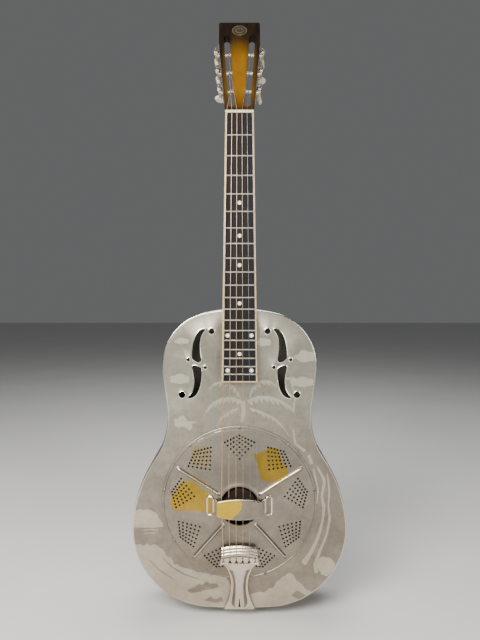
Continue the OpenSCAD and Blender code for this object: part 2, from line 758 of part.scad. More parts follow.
// An oval button on the worm's shaft behind the head
module tuner_button(n) {
    color("ivory") tuner_frame(n) translate([worm_x, button_from + button_deep / 2, worm_z])
        rotate([0, button_turns[n - 1], 0]) difference() {
            translate([-button_t / 2, 0, 0]) rotate([0, 90, 0]) linear_extrude(button_t)
                polygon([for (a = [0:12:348]) [button_half * cos(a), button_deep / 2 * sin(a)]]);
            translate([0, -10, 0]) rotate([-90, 0, 0]) cylinder(h = 12, r = shaft_r, $fn = 36);
        }
}

// ---- Strings ----

function string_x(n, spread) = spread * ((n - 1) / 5 - 0.5);
// A string's way from its tail end over the saddle and nut to the front of its post
function string_points(n) =
    let (r = string_r[n - 1],
         row = tuner_row(n),
         s = post_s(row),
         x_tail = string_x(n, tail_spread),
         x_nut = string_x(n, nut_spread))
    [[x_tail, -11.2, bar_z + 3.6],
     [x_tail, -15.6, bar_z + 7.6],
     [string_x(n, saddle_spread), -saddle_height, cone_z],
     neck_pt([x_nut, -nut_lift, nut_z]),
     neck_pt([x_nut * 1.01, -nut_lift + 0.8, nut_z + nut_t]),
     side_pt(tuner_side(n), [-slot_reach(s), -post_r - r - 0.4, s])];
module string_path(n, grow) { body_frame() wire(string_points(n), string_r[n - 1] + grow); }
// A string, and the ball end that its end face meets under the bar
module string(n) {
    pts = string_points(n);
    away = (pts[0] - pts[1]) / norm(pts[0] - pts[1]);
    color(n <= 4 ? "peru" : "silver") body_frame() {
        tube(pts, string_r[n - 1]);
        translate(pts[0] + 1.64 * away) rotate([0, 90, 0])
            cylinder(h = 3.2, r = 1.6, center = true, $fn = 24);
    }
}

// ---- Nodes ----

body_top();
body_sides();
body_back();
resonator_well();
end_block();
neck_stick();
stick_supports();
resonator_cone();
biscuit();
biscuit_screw();
saddle();
coverplate();
coverplate_screws();
hand_rest();
tailpiece();
tailpiece_screws();
strap_button();
neck();
reinforcing_bar();
fingerboard();
fingerboard_binding();
fingerboard_shim();
fingerboard_screws();
frets();
position_dots();
nut();
tuner_plate_bass();
tuner_plate_treble();
tuner_plate_screws();
for (n = [1:6]) string_post(n);
for (n = [1:6]) tuner_gear(n);
for (n = [1:6]) worm_shaft(n);
for (n = [1:6]) tuner_button(n);
for (n = [1:6]) string(n);
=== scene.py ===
"""Twelve-fret resonator guitar with a nickel-plated brass body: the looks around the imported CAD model.

Shapes are drawn in millimetres in the body frame: x to the treble side, y to the back from the top
sheet, z up the neck from the saddle. place() turns them into metres in the shared frame.
"""
import json
import math
import random

import bmesh
import bpy
import numpy as np
from mathutils import Matrix, Vector, geometry, kdtree


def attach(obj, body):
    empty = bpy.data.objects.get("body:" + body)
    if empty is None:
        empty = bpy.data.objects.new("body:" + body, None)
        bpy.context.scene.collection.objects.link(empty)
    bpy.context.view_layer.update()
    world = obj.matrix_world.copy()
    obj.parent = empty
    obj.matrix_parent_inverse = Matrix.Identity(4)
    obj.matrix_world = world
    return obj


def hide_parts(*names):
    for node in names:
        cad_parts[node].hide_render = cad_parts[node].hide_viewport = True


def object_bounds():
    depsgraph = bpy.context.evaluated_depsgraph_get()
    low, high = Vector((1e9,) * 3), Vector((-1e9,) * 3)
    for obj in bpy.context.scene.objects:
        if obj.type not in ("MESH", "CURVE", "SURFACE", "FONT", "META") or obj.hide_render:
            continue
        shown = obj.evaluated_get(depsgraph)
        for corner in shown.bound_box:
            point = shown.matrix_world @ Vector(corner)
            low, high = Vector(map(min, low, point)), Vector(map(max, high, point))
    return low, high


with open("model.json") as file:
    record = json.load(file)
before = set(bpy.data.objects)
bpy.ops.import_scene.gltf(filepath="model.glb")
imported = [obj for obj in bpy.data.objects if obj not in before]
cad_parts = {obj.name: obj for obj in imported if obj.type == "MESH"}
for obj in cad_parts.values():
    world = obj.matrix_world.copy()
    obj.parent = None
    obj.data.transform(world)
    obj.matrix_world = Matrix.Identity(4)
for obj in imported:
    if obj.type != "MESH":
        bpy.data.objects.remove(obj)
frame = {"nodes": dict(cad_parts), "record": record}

CAD_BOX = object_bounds()

# ---- Frames and sizes shared with the CAD source ----

MM = 0.001
TOP_Y, SADDLE_Z = -28.0, 196.5
TAIL_Z, NECK_END_Z = -181.9, 318.1
DEPTH = 86.0
CONE_Z, WELL_R = -2.8, 122.4
HALF_SCALE = 635.0 / 2
NECK_ANGLE, HEAD_TILT = math.radians(1.8), math.radians(12)
BOARD_HEIGHT, HEAD_DROP, NUT_T = 6.5, 2.3, 4
HEAD_HALF, HEAD_T, SIDE_SLOPE = 23.4, 15.0, 0.085
SIDE_ANGLE = math.atan(SIDE_SLOPE)
SLOT_X, SLOT_SLOPE = 11.8, 0.07
POST_FIRST, POST_PITCH, POST_R = 39, 35, 2.6
WORM_X, WORM_Z = 6, 9
TUNERS = range(1, 7)
STRING_NAMES = ["low_e", "a", "d", "g", "b", "high_e"]
STRING_R = [0.67, 0.53, 0.41, 0.3, 0.22, 0.17]

BODY = Matrix.Scale(MM, 4) @ Matrix.Translation((0, TOP_Y, SADDLE_Z))
NECK = BODY @ Matrix.Translation((0, -BOARD_HEIGHT, HALF_SCALE)) @ Matrix.Rotation(-NECK_ANGLE, 4, "X")
HEAD = NECK @ Matrix.Translation((0, HEAD_DROP, HALF_SCALE + NUT_T)) @ Matrix.Rotation(-HEAD_TILT, 4, "X")


def side_frame(side):
    """Frame of the head's bass (-1) or treble (1) side: x out of the wood, y back, z up the side."""
    return (HEAD @ Matrix.Diagonal((side, 1, 1, 1)) @ Matrix.Translation((HEAD_HALF, HEAD_T / 2, 0))
            @ Matrix.Rotation(SIDE_ANGLE, 4, "Y"))


def post_height(n):
    """How far up the head's side a tuner's post stands."""
    return (POST_FIRST + POST_PITCH * (n - 1 if n <= 3 else 6 - n)) / math.cos(SIDE_ANGLE)


def tuner_frame(n):
    """Frame of a tuner: its side's frame, moved up to the post."""
    return side_frame(-1 if n <= 3 else 1) @ Matrix.Translation((0, 0, post_height(n)))


def place(points, matrix=BODY):
    """An array of points in a millimetre frame, in the shared frame in metres."""
    m = np.array(matrix)
    return np.asarray(points, float) @ m[:3, :3].T + m[:3, 3]


# ---- Materials ----


class Finish:
    """A procedural material, built up from small node calls."""

    def __init__(self, name, **sockets):
        self.mat = bpy.data.materials.new(name)
        self.mat.use_nodes = True
        self.tree = self.mat.node_tree
        self.shader = self.tree.nodes["Principled BSDF"]
        self.coords = self.tree.nodes.new("ShaderNodeTexCoord").outputs["Object"]
        for key, value in sockets.items():
            self.shader.inputs[key.replace("_", " ")].default_value = value

    def node(self, kind, inputs=None, **props):
        made = self.tree.nodes.new(kind)
        for key, value in props.items():
            setattr(made, key, value)
        for key, value in (inputs or {}).items():
            if isinstance(value, bpy.types.NodeSocket):
                self.tree.links.new(value, made.inputs[key])
            else:
                made.inputs[key].default_value = value
        return made

    def noise(self, scale, detail=4, rough=0.55, stretch=(1, 1, 1), turn=(0, 0, 0), warp=0.0):
        """Noise in the object's own coordinates, which stretch draws out and turn rotates."""
        vector = self.node("ShaderNodeMapping", {"Vector": self.coords, "Scale": stretch,
                                                 "Rotation": turn}).outputs[0]
        return self.node("ShaderNodeTexNoise", {"Vector": vector, "Scale": scale, "Detail": detail,
                                                "Roughness": rough, "Distortion": warp}).outputs["Fac"]

    def axis(self, name):
        return self.node("ShaderNodeSeparateXYZ", {"Vector": self.coords}).outputs[name]

    def calc(self, operation, a, b=0.0, clamp=False):
        return self.node("ShaderNodeMath", {0: a, 1: b}, operation=operation, use_clamp=clamp).outputs[0]

    def span(self, value, low, high, to_low=0.0, to_high=1.0):
        """The value moved from the span low..high to the span to_low..to_high."""
        return self.node("ShaderNodeMapRange", {"Value": value, "From Min": low, "From Max": high,
                                                "To Min": to_low, "To Max": to_high}).outputs[0]

    def ramp(self, value, *stops):
        made = self.node("ShaderNodeValToRGB", {"Fac": value})
        ramp = made.color_ramp
        while len(ramp.elements) < len(stops):
            ramp.elements.new(0.5)
        for element, (position, colour) in zip(ramp.elements, stops):
            element.position = position
            element.color = (*colour, 1)
        return made.outputs["Color"]

    def mix(self, value, a, b, blend="MIX"):
        made = self.node("ShaderNodeMix", {"Factor": value}, data_type="RGBA", blend_type=blend)
        for key, colour in ((6, a), (7, b)):
            if isinstance(colour, bpy.types.NodeSocket):
                self.tree.links.new(colour, made.inputs[key])
            else:
                made.inputs[key].default_value = (*colour, 1)
        return made.outputs[2]

    def set(self, key, socket):
        self.tree.links.new(socket, self.shader.inputs[key])

    def bump(self, height, distance, strength):
        """Raises the surface by a height map, on top of any bump that's there already."""
        made = self.node("ShaderNodeBump", {"Height": height, "Distance": distance, "Strength": strength})
        old = self.shader.inputs["Normal"].links
        if old:
            self.tree.links.new(old[0].from_socket, made.inputs["Normal"])
        self.tree.links.new(made.outputs[0], self.shader.inputs["Normal"])


def aged_metal(name, dark, mid, light, rough, grain=0.00002, spots=None, upper=1.0):
    """Old plated metal: cloudy tone, fine wiping scratches and small tarnish spots, broad darker patches that
    are partly random tone and partly painted reflection, and a little warmer low on the body as a painted
    reflection.
    upper brightens the upper bout as painted light."""
    f = Finish(name, Metallic=1.0)
    cloud = f.noise(11, 7, 0.62, warp=0.6)
    fine = f.noise(75, 6, 0.7)
    tone = f.calc("ADD", f.calc("MULTIPLY", cloud, 0.62), f.calc("MULTIPLY", fine, 0.38))
    colour = f.ramp(tone, (0.3, dark), (0.5, mid), (0.68, light))
    # Broad darker patches: partly random tone, partly painted reflection
    broad_tone_and_reflection = f.span(f.noise(6.5, 3, 0.5, warp=0.8), 0.34, 0.66)
    colour = f.mix(1.0, colour, f.ramp(broad_tone_and_reflection, (0.0, (0.80, 0.79, 0.77)), (1.0, (1.0, 1.0, 1.0))), "MULTIPLY")
    # Painted light by height: a painted warm reflection low on the body, a little darker in the middle, and
    # the upper bout brightened by upper as painted light
    painted_light_drift = f.ramp(f.span(f.axis("Z"), 0.03, 0.50), (0.0, (1.0, 0.93, 0.84)), (0.45, (0.94, 0.89, 0.83)),
                   (0.70, (0.97 * upper, 0.985 * upper, 0.92 * upper)),
                   (1.0, (0.98 * upper, 1.01 * upper, 0.95 * upper)))
    colour = f.mix(1.0, colour, painted_light_drift, "MULTIPLY")
    wipe = f.noise(260, 3, 0.6, stretch=(1, 1, 0.06), turn=(0, 0.12, 0))
    cross = f.noise(240, 3, 0.6, stretch=(0.07, 1, 1), turn=(0, -0.3, 0))
    lines = f.calc("MULTIPLY", wipe, cross)
    colour = f.mix(f.span(lines, 0.3, 0.42, 0, 0.35), colour, tuple(c * 0.72 for c in mid))
    freckle = f.noise(430, 2, 0.5)
    colour = f.mix(f.span(freckle, 0.66, 0.72, 0, 0.55), colour, spots or tuple(c * 0.45 for c in dark))
    f.set("Base Color", colour)
    f.set("Roughness", f.span(tone, 0.3, 0.7, rough + 0.1, rough - 0.07))
    f.bump(f.noise(1500, 2, 0.5), grain, 0.5)
    f.bump(lines, 0.00003, 0.4)
    return f.mat


def wood(name, dark, light, rough, scale=160, coat=0.0, shine=0.5):
    """Wood with its grain up the neck and dark pores, as a finish that can be built on."""
    f = Finish(name, Coat_Weight=coat, Coat_Roughness=0.12, Specular_IOR_Level=shine)
    grain = f.noise(scale, 6, 0.65, stretch=(1, 1, 0.05), warp=0.5)
    pores = f.noise(scale * 5, 3, 0.6, stretch=(1, 1, 0.04))
    colour = f.mix(grain, dark, light)
    colour = f.mix(f.span(pores, 0.56, 0.7, 0, 0.6), colour, tuple(c * 0.5 for c in dark))
    f.set("Base Color", colour)
    f.set("Roughness", f.span(grain, 0.3, 0.7, rough + 0.08, rough - 0.05))
    f.bump(pores, 0.00004, 0.35)
    return f


def plain_metal(name, dark, light, rough):
    """Small bright metal parts, with a slight variation and handling marks."""
    f = Finish(name, Metallic=1.0)
    tone = f.noise(120, 5, 0.6)
    f.set("Base Color", f.ramp(tone, (0.3, dark), (0.7, light)))
    f.set("Roughness", f.span(f.noise(400, 3), 0.3, 0.7, rough + 0.08, rough - 0.06))
    f.bump(f.noise(900, 2), 0.00002, 0.4)
    return f.mat


def old_ivory(name, dark, light, rough):
    """Aged bone, pearl or ivory-like plastic, which lets a little light in."""
    f = Finish(name, Subsurface_Weight=0.08, Coat_Weight=0.25, Coat_Roughness=0.2)
    f.shader.inputs["Subsurface Radius"].default_value = (0.002, 0.0015, 0.001)
    tone = f.noise(90, 5, 0.6, warp=0.8)
    f.set("Base Color", f.ramp(tone, (0.3, dark), (0.65, light)))
    f.set("Roughness", f.span(f.noise(300, 3), 0.3, 0.7, rough + 0.08, rough - 0.06))
    f.bump(f.noise(700, 3), 0.00003, 0.4)
    return f.mat


# upper brightens the upper bout as painted light: strongly on the plain nickel, a little on the frosted
NICKEL = aged_metal("nickel_plain", (0.22, 0.20, 0.18), (0.33, 0.305, 0.27), (0.44, 0.415, 0.37), 0.40,
                    upper=1.38)
FROSTED = aged_metal("nickel_frosted", (0.47, 0.44, 0.385), (0.59, 0.56, 0.49), (0.70, 0.67, 0.59), 0.48,
                     0.00006, upper=1.02)
# A lighter, glossier nickel used only as painted highlight: on rolled edges, f-hole lips, rib crests, the
# hand rest's border and beside the tailpiece's spine
HIGHLIGHT_NICKEL = aged_metal("nickel_painted_highlight", (0.62, 0.59, 0.54), (0.76, 0.73, 0.68), (0.86, 0.84, 0.80), 0.22)
BRASS = aged_metal("brass_worn", (0.28, 0.18, 0.025), (0.45, 0.31, 0.05), (0.56, 0.40, 0.08), 0.38,
                   spots=(0.16, 0.11, 0.05))
BRASS_FAINT = aged_metal("brass_showing", (0.24, 0.19, 0.11), (0.37, 0.31, 0.20), (0.48, 0.42, 0.29), 0.42)
BRASS_LIGHT = aged_metal("brass_polished", (0.56, 0.38, 0.04), (0.78, 0.55, 0.06), (0.90, 0.69, 0.11), 0.38,
                         spots=(0.3, 0.22, 0.08))
DIM_NICKEL = aged_metal("nickel_dim", (0.16, 0.14, 0.115), (0.26, 0.235, 0.20), (0.36, 0.33, 0.29), 0.4)
POLISHED = aged_metal("nickel_polished", (0.66, 0.63, 0.58), (0.80, 0.77, 0.72), (0.90, 0.88, 0.84), 0.17)
WELL_BRASS = aged_metal("brass_inside", (0.22, 0.16, 0.07), (0.32, 0.24, 0.11), (0.40, 0.30, 0.15), 0.5)
FRET_METAL = plain_metal("fret_metal", (0.38, 0.36, 0.30), (0.56, 0.53, 0.45), 0.3)
STEEL = plain_metal("screw_steel", (0.34, 0.32, 0.29), (0.56, 0.54, 0.50), 0.33)
DARK_STEEL = plain_metal("dark_steel", (0.10, 0.10, 0.10), (0.2, 0.2, 0.2), 0.45)
GEAR = plain_metal("gear_brass", (0.40, 0.34, 0.22), (0.68, 0.60, 0.42), 0.32)
POST_METAL = plain_metal("post_nickel", (0.40, 0.39, 0.36), (0.62, 0.60, 0.56), 0.2)
COVER_SCREW = plain_metal("cover_screw_steel", (0.14, 0.13, 0.12), (0.30, 0.28, 0.26), 0.4)
WOUND = plain_metal("string_wound", (0.50, 0.35, 0.21), (0.72, 0.54, 0.36), 0.42)
PLAIN_WIRE = plain_metal("string_plain", (0.30, 0.30, 0.29), (0.52, 0.51, 0.49), 0.35)
IVORY = old_ivory("ivoroid", (0.46, 0.35, 0.18), (0.64, 0.52, 0.30), 0.4)
BONE = old_ivory("nut_bone", (0.66, 0.58, 0.38), (0.86, 0.79, 0.58), 0.35)
BUTTON = old_ivory("button_ivoroid", (0.62, 0.55, 0.38), (0.83, 0.77, 0.60), 0.3)
PEARL = old_ivory("dot_pearl", (0.86, 0.82, 0.58), (0.98, 0.95, 0.74), 0.3)
BOARD = wood("board_black", (0.004, 0.004, 0.005), (0.022, 0.021, 0.024), 0.55, scale=260, shine=0.12).mat
MAPLE = wood("maple", (0.42, 0.28, 0.14), (0.62, 0.45, 0.26), 0.5).mat
DARK_MAPLE = wood("maple_dark", (0.008, 0.005, 0.003), (0.022, 0.013, 0.008), 0.5).mat
MAHOGANY = wood("mahogany_stick", (0.16, 0.07, 0.035), (0.30, 0.15, 0.08), 0.55).mat


def spun_aluminium():
    """Thin aluminium with the rings left by spinning, far darker than bare aluminium as painted shade for the
    cone inside the body.
    """
    f = Finish("aluminium_spun_shaded", Metallic=1.0)
    x = f.calc("POWER", f.axis("X"), 2)
    z = f.calc("POWER", f.calc("SUBTRACT", f.axis("Z"), (SADDLE_Z + CONE_Z) * MM), 2)
    radius = f.calc("SQRT", f.calc("ADD", x, z))
    rings = f.calc("SINE", f.calc("MULTIPLY", radius, 9000))
    tone = f.noise(60, 5)
    # Dark base colour: painted shade
    f.set("Base Color", f.ramp(tone, (0.3, (0.08, 0.08, 0.085)), (0.7, (0.17, 0.17, 0.18))))
    f.set("Roughness", f.span(tone, 0.3, 0.7, 0.42, 0.32))
    f.bump(rings, 0.00004, 0.5)
    return f.mat


def sunburst():
    """Lacquered mahogany, amber in the middle of the head's face and nearly black at its edges and top."""
    f = wood("mahogany_sunburst", (0.12, 0.05, 0.02), (0.22, 0.10, 0.035), 0.34, coat=0.04, shine=0.2)
    x = f.calc("ABSOLUTE", f.axis("X"))
    z = f.axis("Z")
    grain = f.noise(120, 6, 0.6, stretch=(1, 1, 0.08), warp=0.4)
    amber = f.mix(grain, (0.15, 0.060, 0.002), (0.24, 0.115, 0.004))
    brown = f.mix(grain, (0.004, 0.0022, 0.001), (0.013, 0.006, 0.002))
    # Heights from here on are metres in the shared frame
    up = f.span(z, 0.835, 0.996)
    middle = f.span(x, 0.008, 0.031, 1, 0)
    height = f.ramp(up, (0.0, (0.12,) * 3), (0.10, (0.55,) * 3), (0.24, (1.0,) * 3), (0.60, (1.0,) * 3),
                    (0.82, (0.10,) * 3), (0.95, (0.0,) * 3))
    warm = f.calc("MULTIPLY", middle, height)
    wobble = f.calc("ADD", warm, f.span(grain, 0.3, 0.7, -0.05, 0.05), clamp=True)
    face = f.mix(wobble, brown, amber)
    heel = f.span(z, 0.52, 0.60, 0.0, 1.0)
    glow = f.calc("MULTIPLY", heel, f.span(z, 0.70, 0.82, 1, 0))
    shaft = f.mix(glow, brown, f.mix(grain, (0.14, 0.058, 0.015), (0.26, 0.12, 0.035)))
    f.set("Base Color", f.mix(f.span(z, 0.825, 0.845), shaft, face))
    return f.mat


ALUMINIUM_IN_SHADE = spun_aluminium()
SUNBURST = sunburst()

SLOT_FINISH = {
    "aged_nickel": NICKEL, "bare_brass": WELL_BRASS, "spun_aluminium": ALUMINIUM_IN_SHADE, "maple": MAPLE,
    "mahogany_sunburst": SUNBURST, "mahogany_stick": MAHOGANY, "black_board": BOARD,
    "aged_ivoroid": IVORY, "pearl": PEARL, "nickel_silver": FRET_METAL, "screw_steel": STEEL,
    "gear_brass": GEAR, "bronze_wound": WOUND, "plain_steel": PLAIN_WIRE, "dark_steel": DARK_STEEL,
    "dark_maple": DARK_MAPLE,
}
NODE_FINISH = {"nut": BONE, "coverplate_screws": COVER_SCREW}
NODE_FINISH.update((f"string_post_{n}", POST_METAL) for n in TUNERS)
for entry in frame["record"]["subparts"]:
    mesh = frame["nodes"][entry["node"]].data
    mesh.materials.clear()
    mesh.materials.append(NODE_FINISH.get(entry["node"], SLOT_FINISH[entry["material_slot"]]))

# ---- Building meshes ----


def new_object(name, data):
    made = bpy.data.objects.new(name, data)
    bpy.context.scene.collection.objects.link(made)
    return made


def add_mesh(name, vertices, faces, finishes, body, replaced=(), face_finish=None, sharp=32):
    """A piece from points in metres, riding on a body and standing for the replaced nodes. Edges that bend
    by more than sharp degrees stay crisp."""
    mesh = bpy.data.meshes.new(name)
    mesh.from_pydata([tuple(v) for v in vertices], [], [tuple(int(i) for i in f) for f in faces])
    for finish in finishes:
        mesh.materials.append(finish)
    if face_finish is not None:
        mesh.polygons.foreach_set("material_index", np.asarray(face_finish, np.int32))
    mesh.validate()
    mesh.shade_smooth()
    mesh.set_sharp_from_angle(angle=math.radians(sharp))
    piece = new_object(name, mesh)
    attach(piece, body)
    if replaced:
        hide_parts(*replaced)
    return piece


def weld(piece, turn_out=False):
    """Joins the points that coincide, and with turn_out makes every face look outwards."""
    bm = bmesh.new()
    bm.from_mesh(piece.data)
    bmesh.ops.remove_doubles(bm, verts=bm.verts, dist=2e-6)
    if turn_out:
        bmesh.ops.recalc_face_normals(bm, faces=bm.faces)
    bm.to_mesh(piece.data)
    bm.free()


def apply_modifiers(piece, sharp):
    """Makes the piece's modifiers part of its mesh, then marks its sharp edges again."""
    shown = piece.evaluated_get(bpy.context.evaluated_depsgraph_get())
    mesh = bpy.data.meshes.new_from_object(shown)
    piece.modifiers.clear()
    piece.data = mesh
    mesh.shade_smooth()
    mesh.set_sharp_from_angle(angle=math.radians(sharp))


def inside(points, loop):
    """Which of the points lie inside a closed loop."""
    x, z = points[:, 0], points[:, 1]
    loop = np.asarray(loop, float)
    ahead = np.roll(loop, -1, axis=0)
    found = np.zeros(len(points), bool)
    for (ax, az), (bx, bz) in zip(loop, ahead):
        if az == bz:
            continue
        crosses = (az > z) != (bz > z)
        found ^= crosses & (x < (bx - ax) * (z - az) / (bz - az) + ax)
    return found


def circle(cx, cz, r, count):
    return [(cx + r * math.cos(2 * math.pi * k / count), cz + r * math.sin(2 * math.pi * k / count))
            for k in range(count)]


def bezier(a, b, c, d, count):
    """Points of a cubic curve, without its last one."""
    ts = [k / count for k in range(count)]
    return [tuple((1 - t) ** 3 * p + 3 * (1 - t) ** 2 * t * q + 3 * (1 - t) * t * t * r + t ** 3 * s
                  for p, q, r, s in zip(a, b, c, d)) for t in ts]


def hex_grid(x0, x1, z0, z1, step):
    """Points in staggered rows, so that nearly all triangles between them have equal sides."""
    rows = np.arange(z0, z1, step * 0.866)
    return [(x + (0.5 * step if k % 2 else 0), z)
            for k, z in enumerate(rows) for x in np.arange(x0, x1, step)]


def cut_sheet(loop, holes=(), lines=(), spots=(), patches=()):
    """Triangles of a flat region with holes. Edges follow the lines, and spots are points to use. patches
    are (number, loop) pairs: the last one that holds a triangle gives its number, and 0 is the rest.
    Returns points, triangles and numbers."""
    points, edges = [], []

    def add(chain, closed):
        start = len(points)
        points.extend(Vector(p[:2]) for p in chain)
        edges.extend((start + k, start + k + 1) for k in range(len(chain) - 1))
        if closed:
            edges.append((len(points) - 1, start))

    for closed_loop in [loop, *holes, *(p[1] for p in patches)]:
        add(closed_loop, True)
    for line in lines:
        add(line, False)
    points.extend(Vector(p) for p in spots)
    made = geometry.delaunay_2d_cdt(points, edges, [], 0, 1e-4)
    flat = np.array([tuple(v) for v in made[0]])
    tris = np.array([tuple(f) for f in made[2]])
    middle = flat[tris].mean(axis=1)
    keep = inside(middle, loop)
    for hole in holes:
        keep &= ~inside(middle, hole)
    tris, middle = tris[keep], middle[keep]
    number = np.zeros(len(tris), int)
    for which, patch in patches:
        number[inside(middle, patch)] = which
    a, b, c = flat[tris[:, 0]], flat[tris[:, 1]], flat[tris[:, 2]]
    turned = (b - a)[:, 0] * (c - a)[:, 1] - (b - a)[:, 1] * (c - a)[:, 0] < 0
    tris[turned] = tris[turned][:, ::-1]
    used, tris = np.unique(tris, return_inverse=True)
    return flat[used], tris.reshape(-1, 3), number


def sheet_piece(name, finishes, region, shape, thick, replaced=(), matrix=BODY, rim=(), sharp=32,
                rim_finish=0):
    """A thin piece on the guitar's body: region is what cut_sheet gave, shape lifts its points to x, y, z,
    and the metal is thick behind that. rim lists pairs of loops of 3-D points, each with whether its band
    of faces is turned round; the bands carry on from the edge."""
    flat, tris, number = region
    solid = np.array(shape(flat[:, 0], flat[:, 1])).T
    vertices, faces, numbers = [tuple(p) for p in solid], [tuple(t) for t in tris], list(number)
    for near, far, flip in rim:
        start, count = len(vertices), len(near)
        vertices += list(near) + list(far)
        for k in range(count):
            ahead = (k + 1) % count
            quad = (start + k, start + ahead, start + count + ahead, start + count + k)
            faces.append(quad[::-1] if flip else quad)
            numbers.append(rim_finish)
    piece = add_mesh(name, place(vertices, matrix), faces, finishes, "guitar", replaced, numbers, sharp)
    weld(piece)
    solidify = piece.modifiers.new("thickness", "SOLIDIFY")
    solidify.thickness = thick * MM
    solidify.offset = -1
    apply_modifiers(piece, sharp)


# ---- Body ----

# The outline's arcs from the neck round to the tail, as radius and sweep in degrees; -125 is the waist
NEARLY_STRAIGHT = 1150
ARCS = [(270, 12.5), (88, 83.4), (NEARLY_STRAIGHT, 2.8), (-125, 42.9), (221, 31.2), (133, 90.15)]
ARC_STEP, TAIL_STEPS = 2.0, 5
SHEET = 1.1


def outline(inset):
    """The body's outline moved inwards, as a loop in x and z: its arcs, then one across the tail."""
    x, z, heading = 0.0, NECK_END_Z - inset, 0.0
    half = [(x, z)]
    for radius, sweep in ARCS:
        r = radius - inset
        turn = math.radians(sweep if radius > 0 else -sweep)
        cx, cz = x + r * math.sin(heading), z - r * math.cos(heading)
        count = 8 if radius == NEARLY_STRAIGHT else math.ceil(sweep / ARC_STEP)
        for k in range(1, count + 1):
            now = heading - turn * k / count
            x, z = cx - r * math.sin(now), cz + r * math.cos(now)
            half.append((x, z))
        heading -= turn
    last = math.pi + heading
    r = x / math.sin(last)
    for k in range(1, TAIL_STEPS + 1):
        now = last * (1 - k / TAIL_STEPS)
        half.append((x + r * (math.sin(now) - math.sin(last)), z + r * (math.cos(last) - math.cos(now))))
    return half + [(-px, pz) for px, pz in half[-2:0:-1]]


def f_hole():
    """The six loops of the bass side's f-shaped hole: its two limbs, each with a large and a small dot."""
    limb = (bezier((11.5, 58), (-2, 58), (-8.2, 38), (-8.7, 9.5), 14)
            + bezier((-8.7, 9.5), (-6, 5.5), (4, -2), (7, 6), 8)
            + bezier((7, 6), (4, 24), (1, 44), (13.5, 56), 14)
            + bezier((13.5, 56), (14.5, 57.2), (13.2, 58.4), (11.5, 58), 4))
    lower_limb = (bezier((-13.5, -56.4), (-15.4, -56.2), (-15.6, -54.6), (-14.4, -53), 4)
                  + bezier((-14.4, -53), (-1, -42), (-4.6, -24), (-8.6, -4.6), 14)
                  + bezier((-8.6, -4.6), (-6.5, 1.8), (3.4, -4.6), (7.4, -7.6), 8)
                  + bezier((7.4, -7.6), (7.6, -32), (3, -56), (-13.5, -56.4), 14))
    loops = [limb, circle(23.4, 54, 4.9, 28), circle(-14.6, 7.4, 2.9, 18),
             lower_limb, circle(-25, -50.6, 5.4, 28), circle(13.0, -5.2, 2.9, 18)]
    centre_x, centre_z = -69.2, 227.5
    return [[(x + centre_x, z + centre_z) for x, z in loop] for loop in loops]


# Etched scenery: clouds, palms, a lagoon and rough ground, as loops in x and z

draw = random.Random(12)
PLAIN, ETCHED = 0, 1


def wobbly(loop, amount):
    """A loop with points put in between and moved a little, for a ragged edge."""
    parts = 3
    out = []
    for (ax, az), (bx, bz) in zip(loop, loop[1:] + loop[:1]):
        for k in range(parts):
            t = k / parts
            out.append((ax + (bx - ax) * t + draw.uniform(-amount, amount),
                        az + (bz - az) * t + draw.uniform(-amount, amount)))
    return out


def cloud(cx, cz, width, height, lumps):
    """A lumpy oval with a flatter underside."""
    loop = []
    for t in np.linspace(0, 2 * math.pi, 40, endpoint=False):
        swell = 0.78 + 0.22 * abs(math.sin(lumps * t / 2)) + draw.uniform(-0.05, 0.05)
        low = 0.6 if math.sin(t) < 0 else 1.0
        loop.append((cx + width / 2 * swell * math.cos(t), cz + height / 2 * swell * low * math.sin(t)))
    return loop


def smooth_line(points, samples):
    """A line through points, sampled evenly and with its corners softened."""
    points = np.array(points, float)
    at = np.linspace(0, len(points) - 1, samples)
    xs, zs = (np.interp(at, np.arange(len(points)), points[:, k]) for k in (0, 1))
    kernel = np.array([1, 2, 3, 2, 1]) / 9
    for line in (xs, zs):
        line[2:-2] = np.convolve(line, kernel, "valid")
    return xs, zs


def frond(points, hang, leaves):
    """A palm leaf: a bent rib through points, with pointed leaflets that hang from it."""
    xs, zs = smooth_line(points, 4 * leaves + 1)
    upper = list(zip(xs, zs + 0.6))
    lower = []
    for k in range(leaves, 0, -1):
        t = k / leaves
        drop = hang * (0.45 + 0.65 * math.sin(math.pi * (0.15 + 0.8 * t))) * draw.uniform(0.7, 1.15)
        lean = 0.45 * drop * math.copysign(1, xs[-1] - xs[0])
        tip, notch = 4 * k - 1, 4 * k - 4
        lower.append((xs[tip] + lean * t, zs[tip] - drop))
        lower.append((xs[notch], zs[notch] - 0.32 * drop))
    return upper + lower


def strip(points, widths, samples=26):
    """A band of changing width along a smooth line through points."""
    xs, zs = smooth_line(points, samples)
    half = np.interp(np.linspace(0, 1, samples), np.linspace(0, 1, len(widths)), widths) / 2
    half *= [draw.uniform(0.85, 1.15) for k in range(samples)]
    dx, dz = np.gradient(xs), np.gradient(zs)
    length = np.hypot(dx, dz)
    nx, nz = -dz / length, dx / length
    return (list(zip(xs + half * nx, zs + half * nz))
            + list(zip((xs - half * nx)[::-1], (zs - half * nz)[::-1])))


def grow(loop, amount):
    """A loop moved outwards."""
    points = np.array(loop, float)
    ways = np.roll(points, -1, axis=0) - np.roll(points, 1, axis=0)
    ways /= np.hypot(ways[:, 0], ways[:, 1])[:, None]
    area = np.sum(points[:, 0] * np.roll(points[:, 1], -1) - np.roll(points[:, 0], -1) * points[:, 1])
    side = amount if area > 0 else -amount
    return [(x + side * wz, z - side * wx) for (x, z), (wx, wz) in zip(points, ways)]


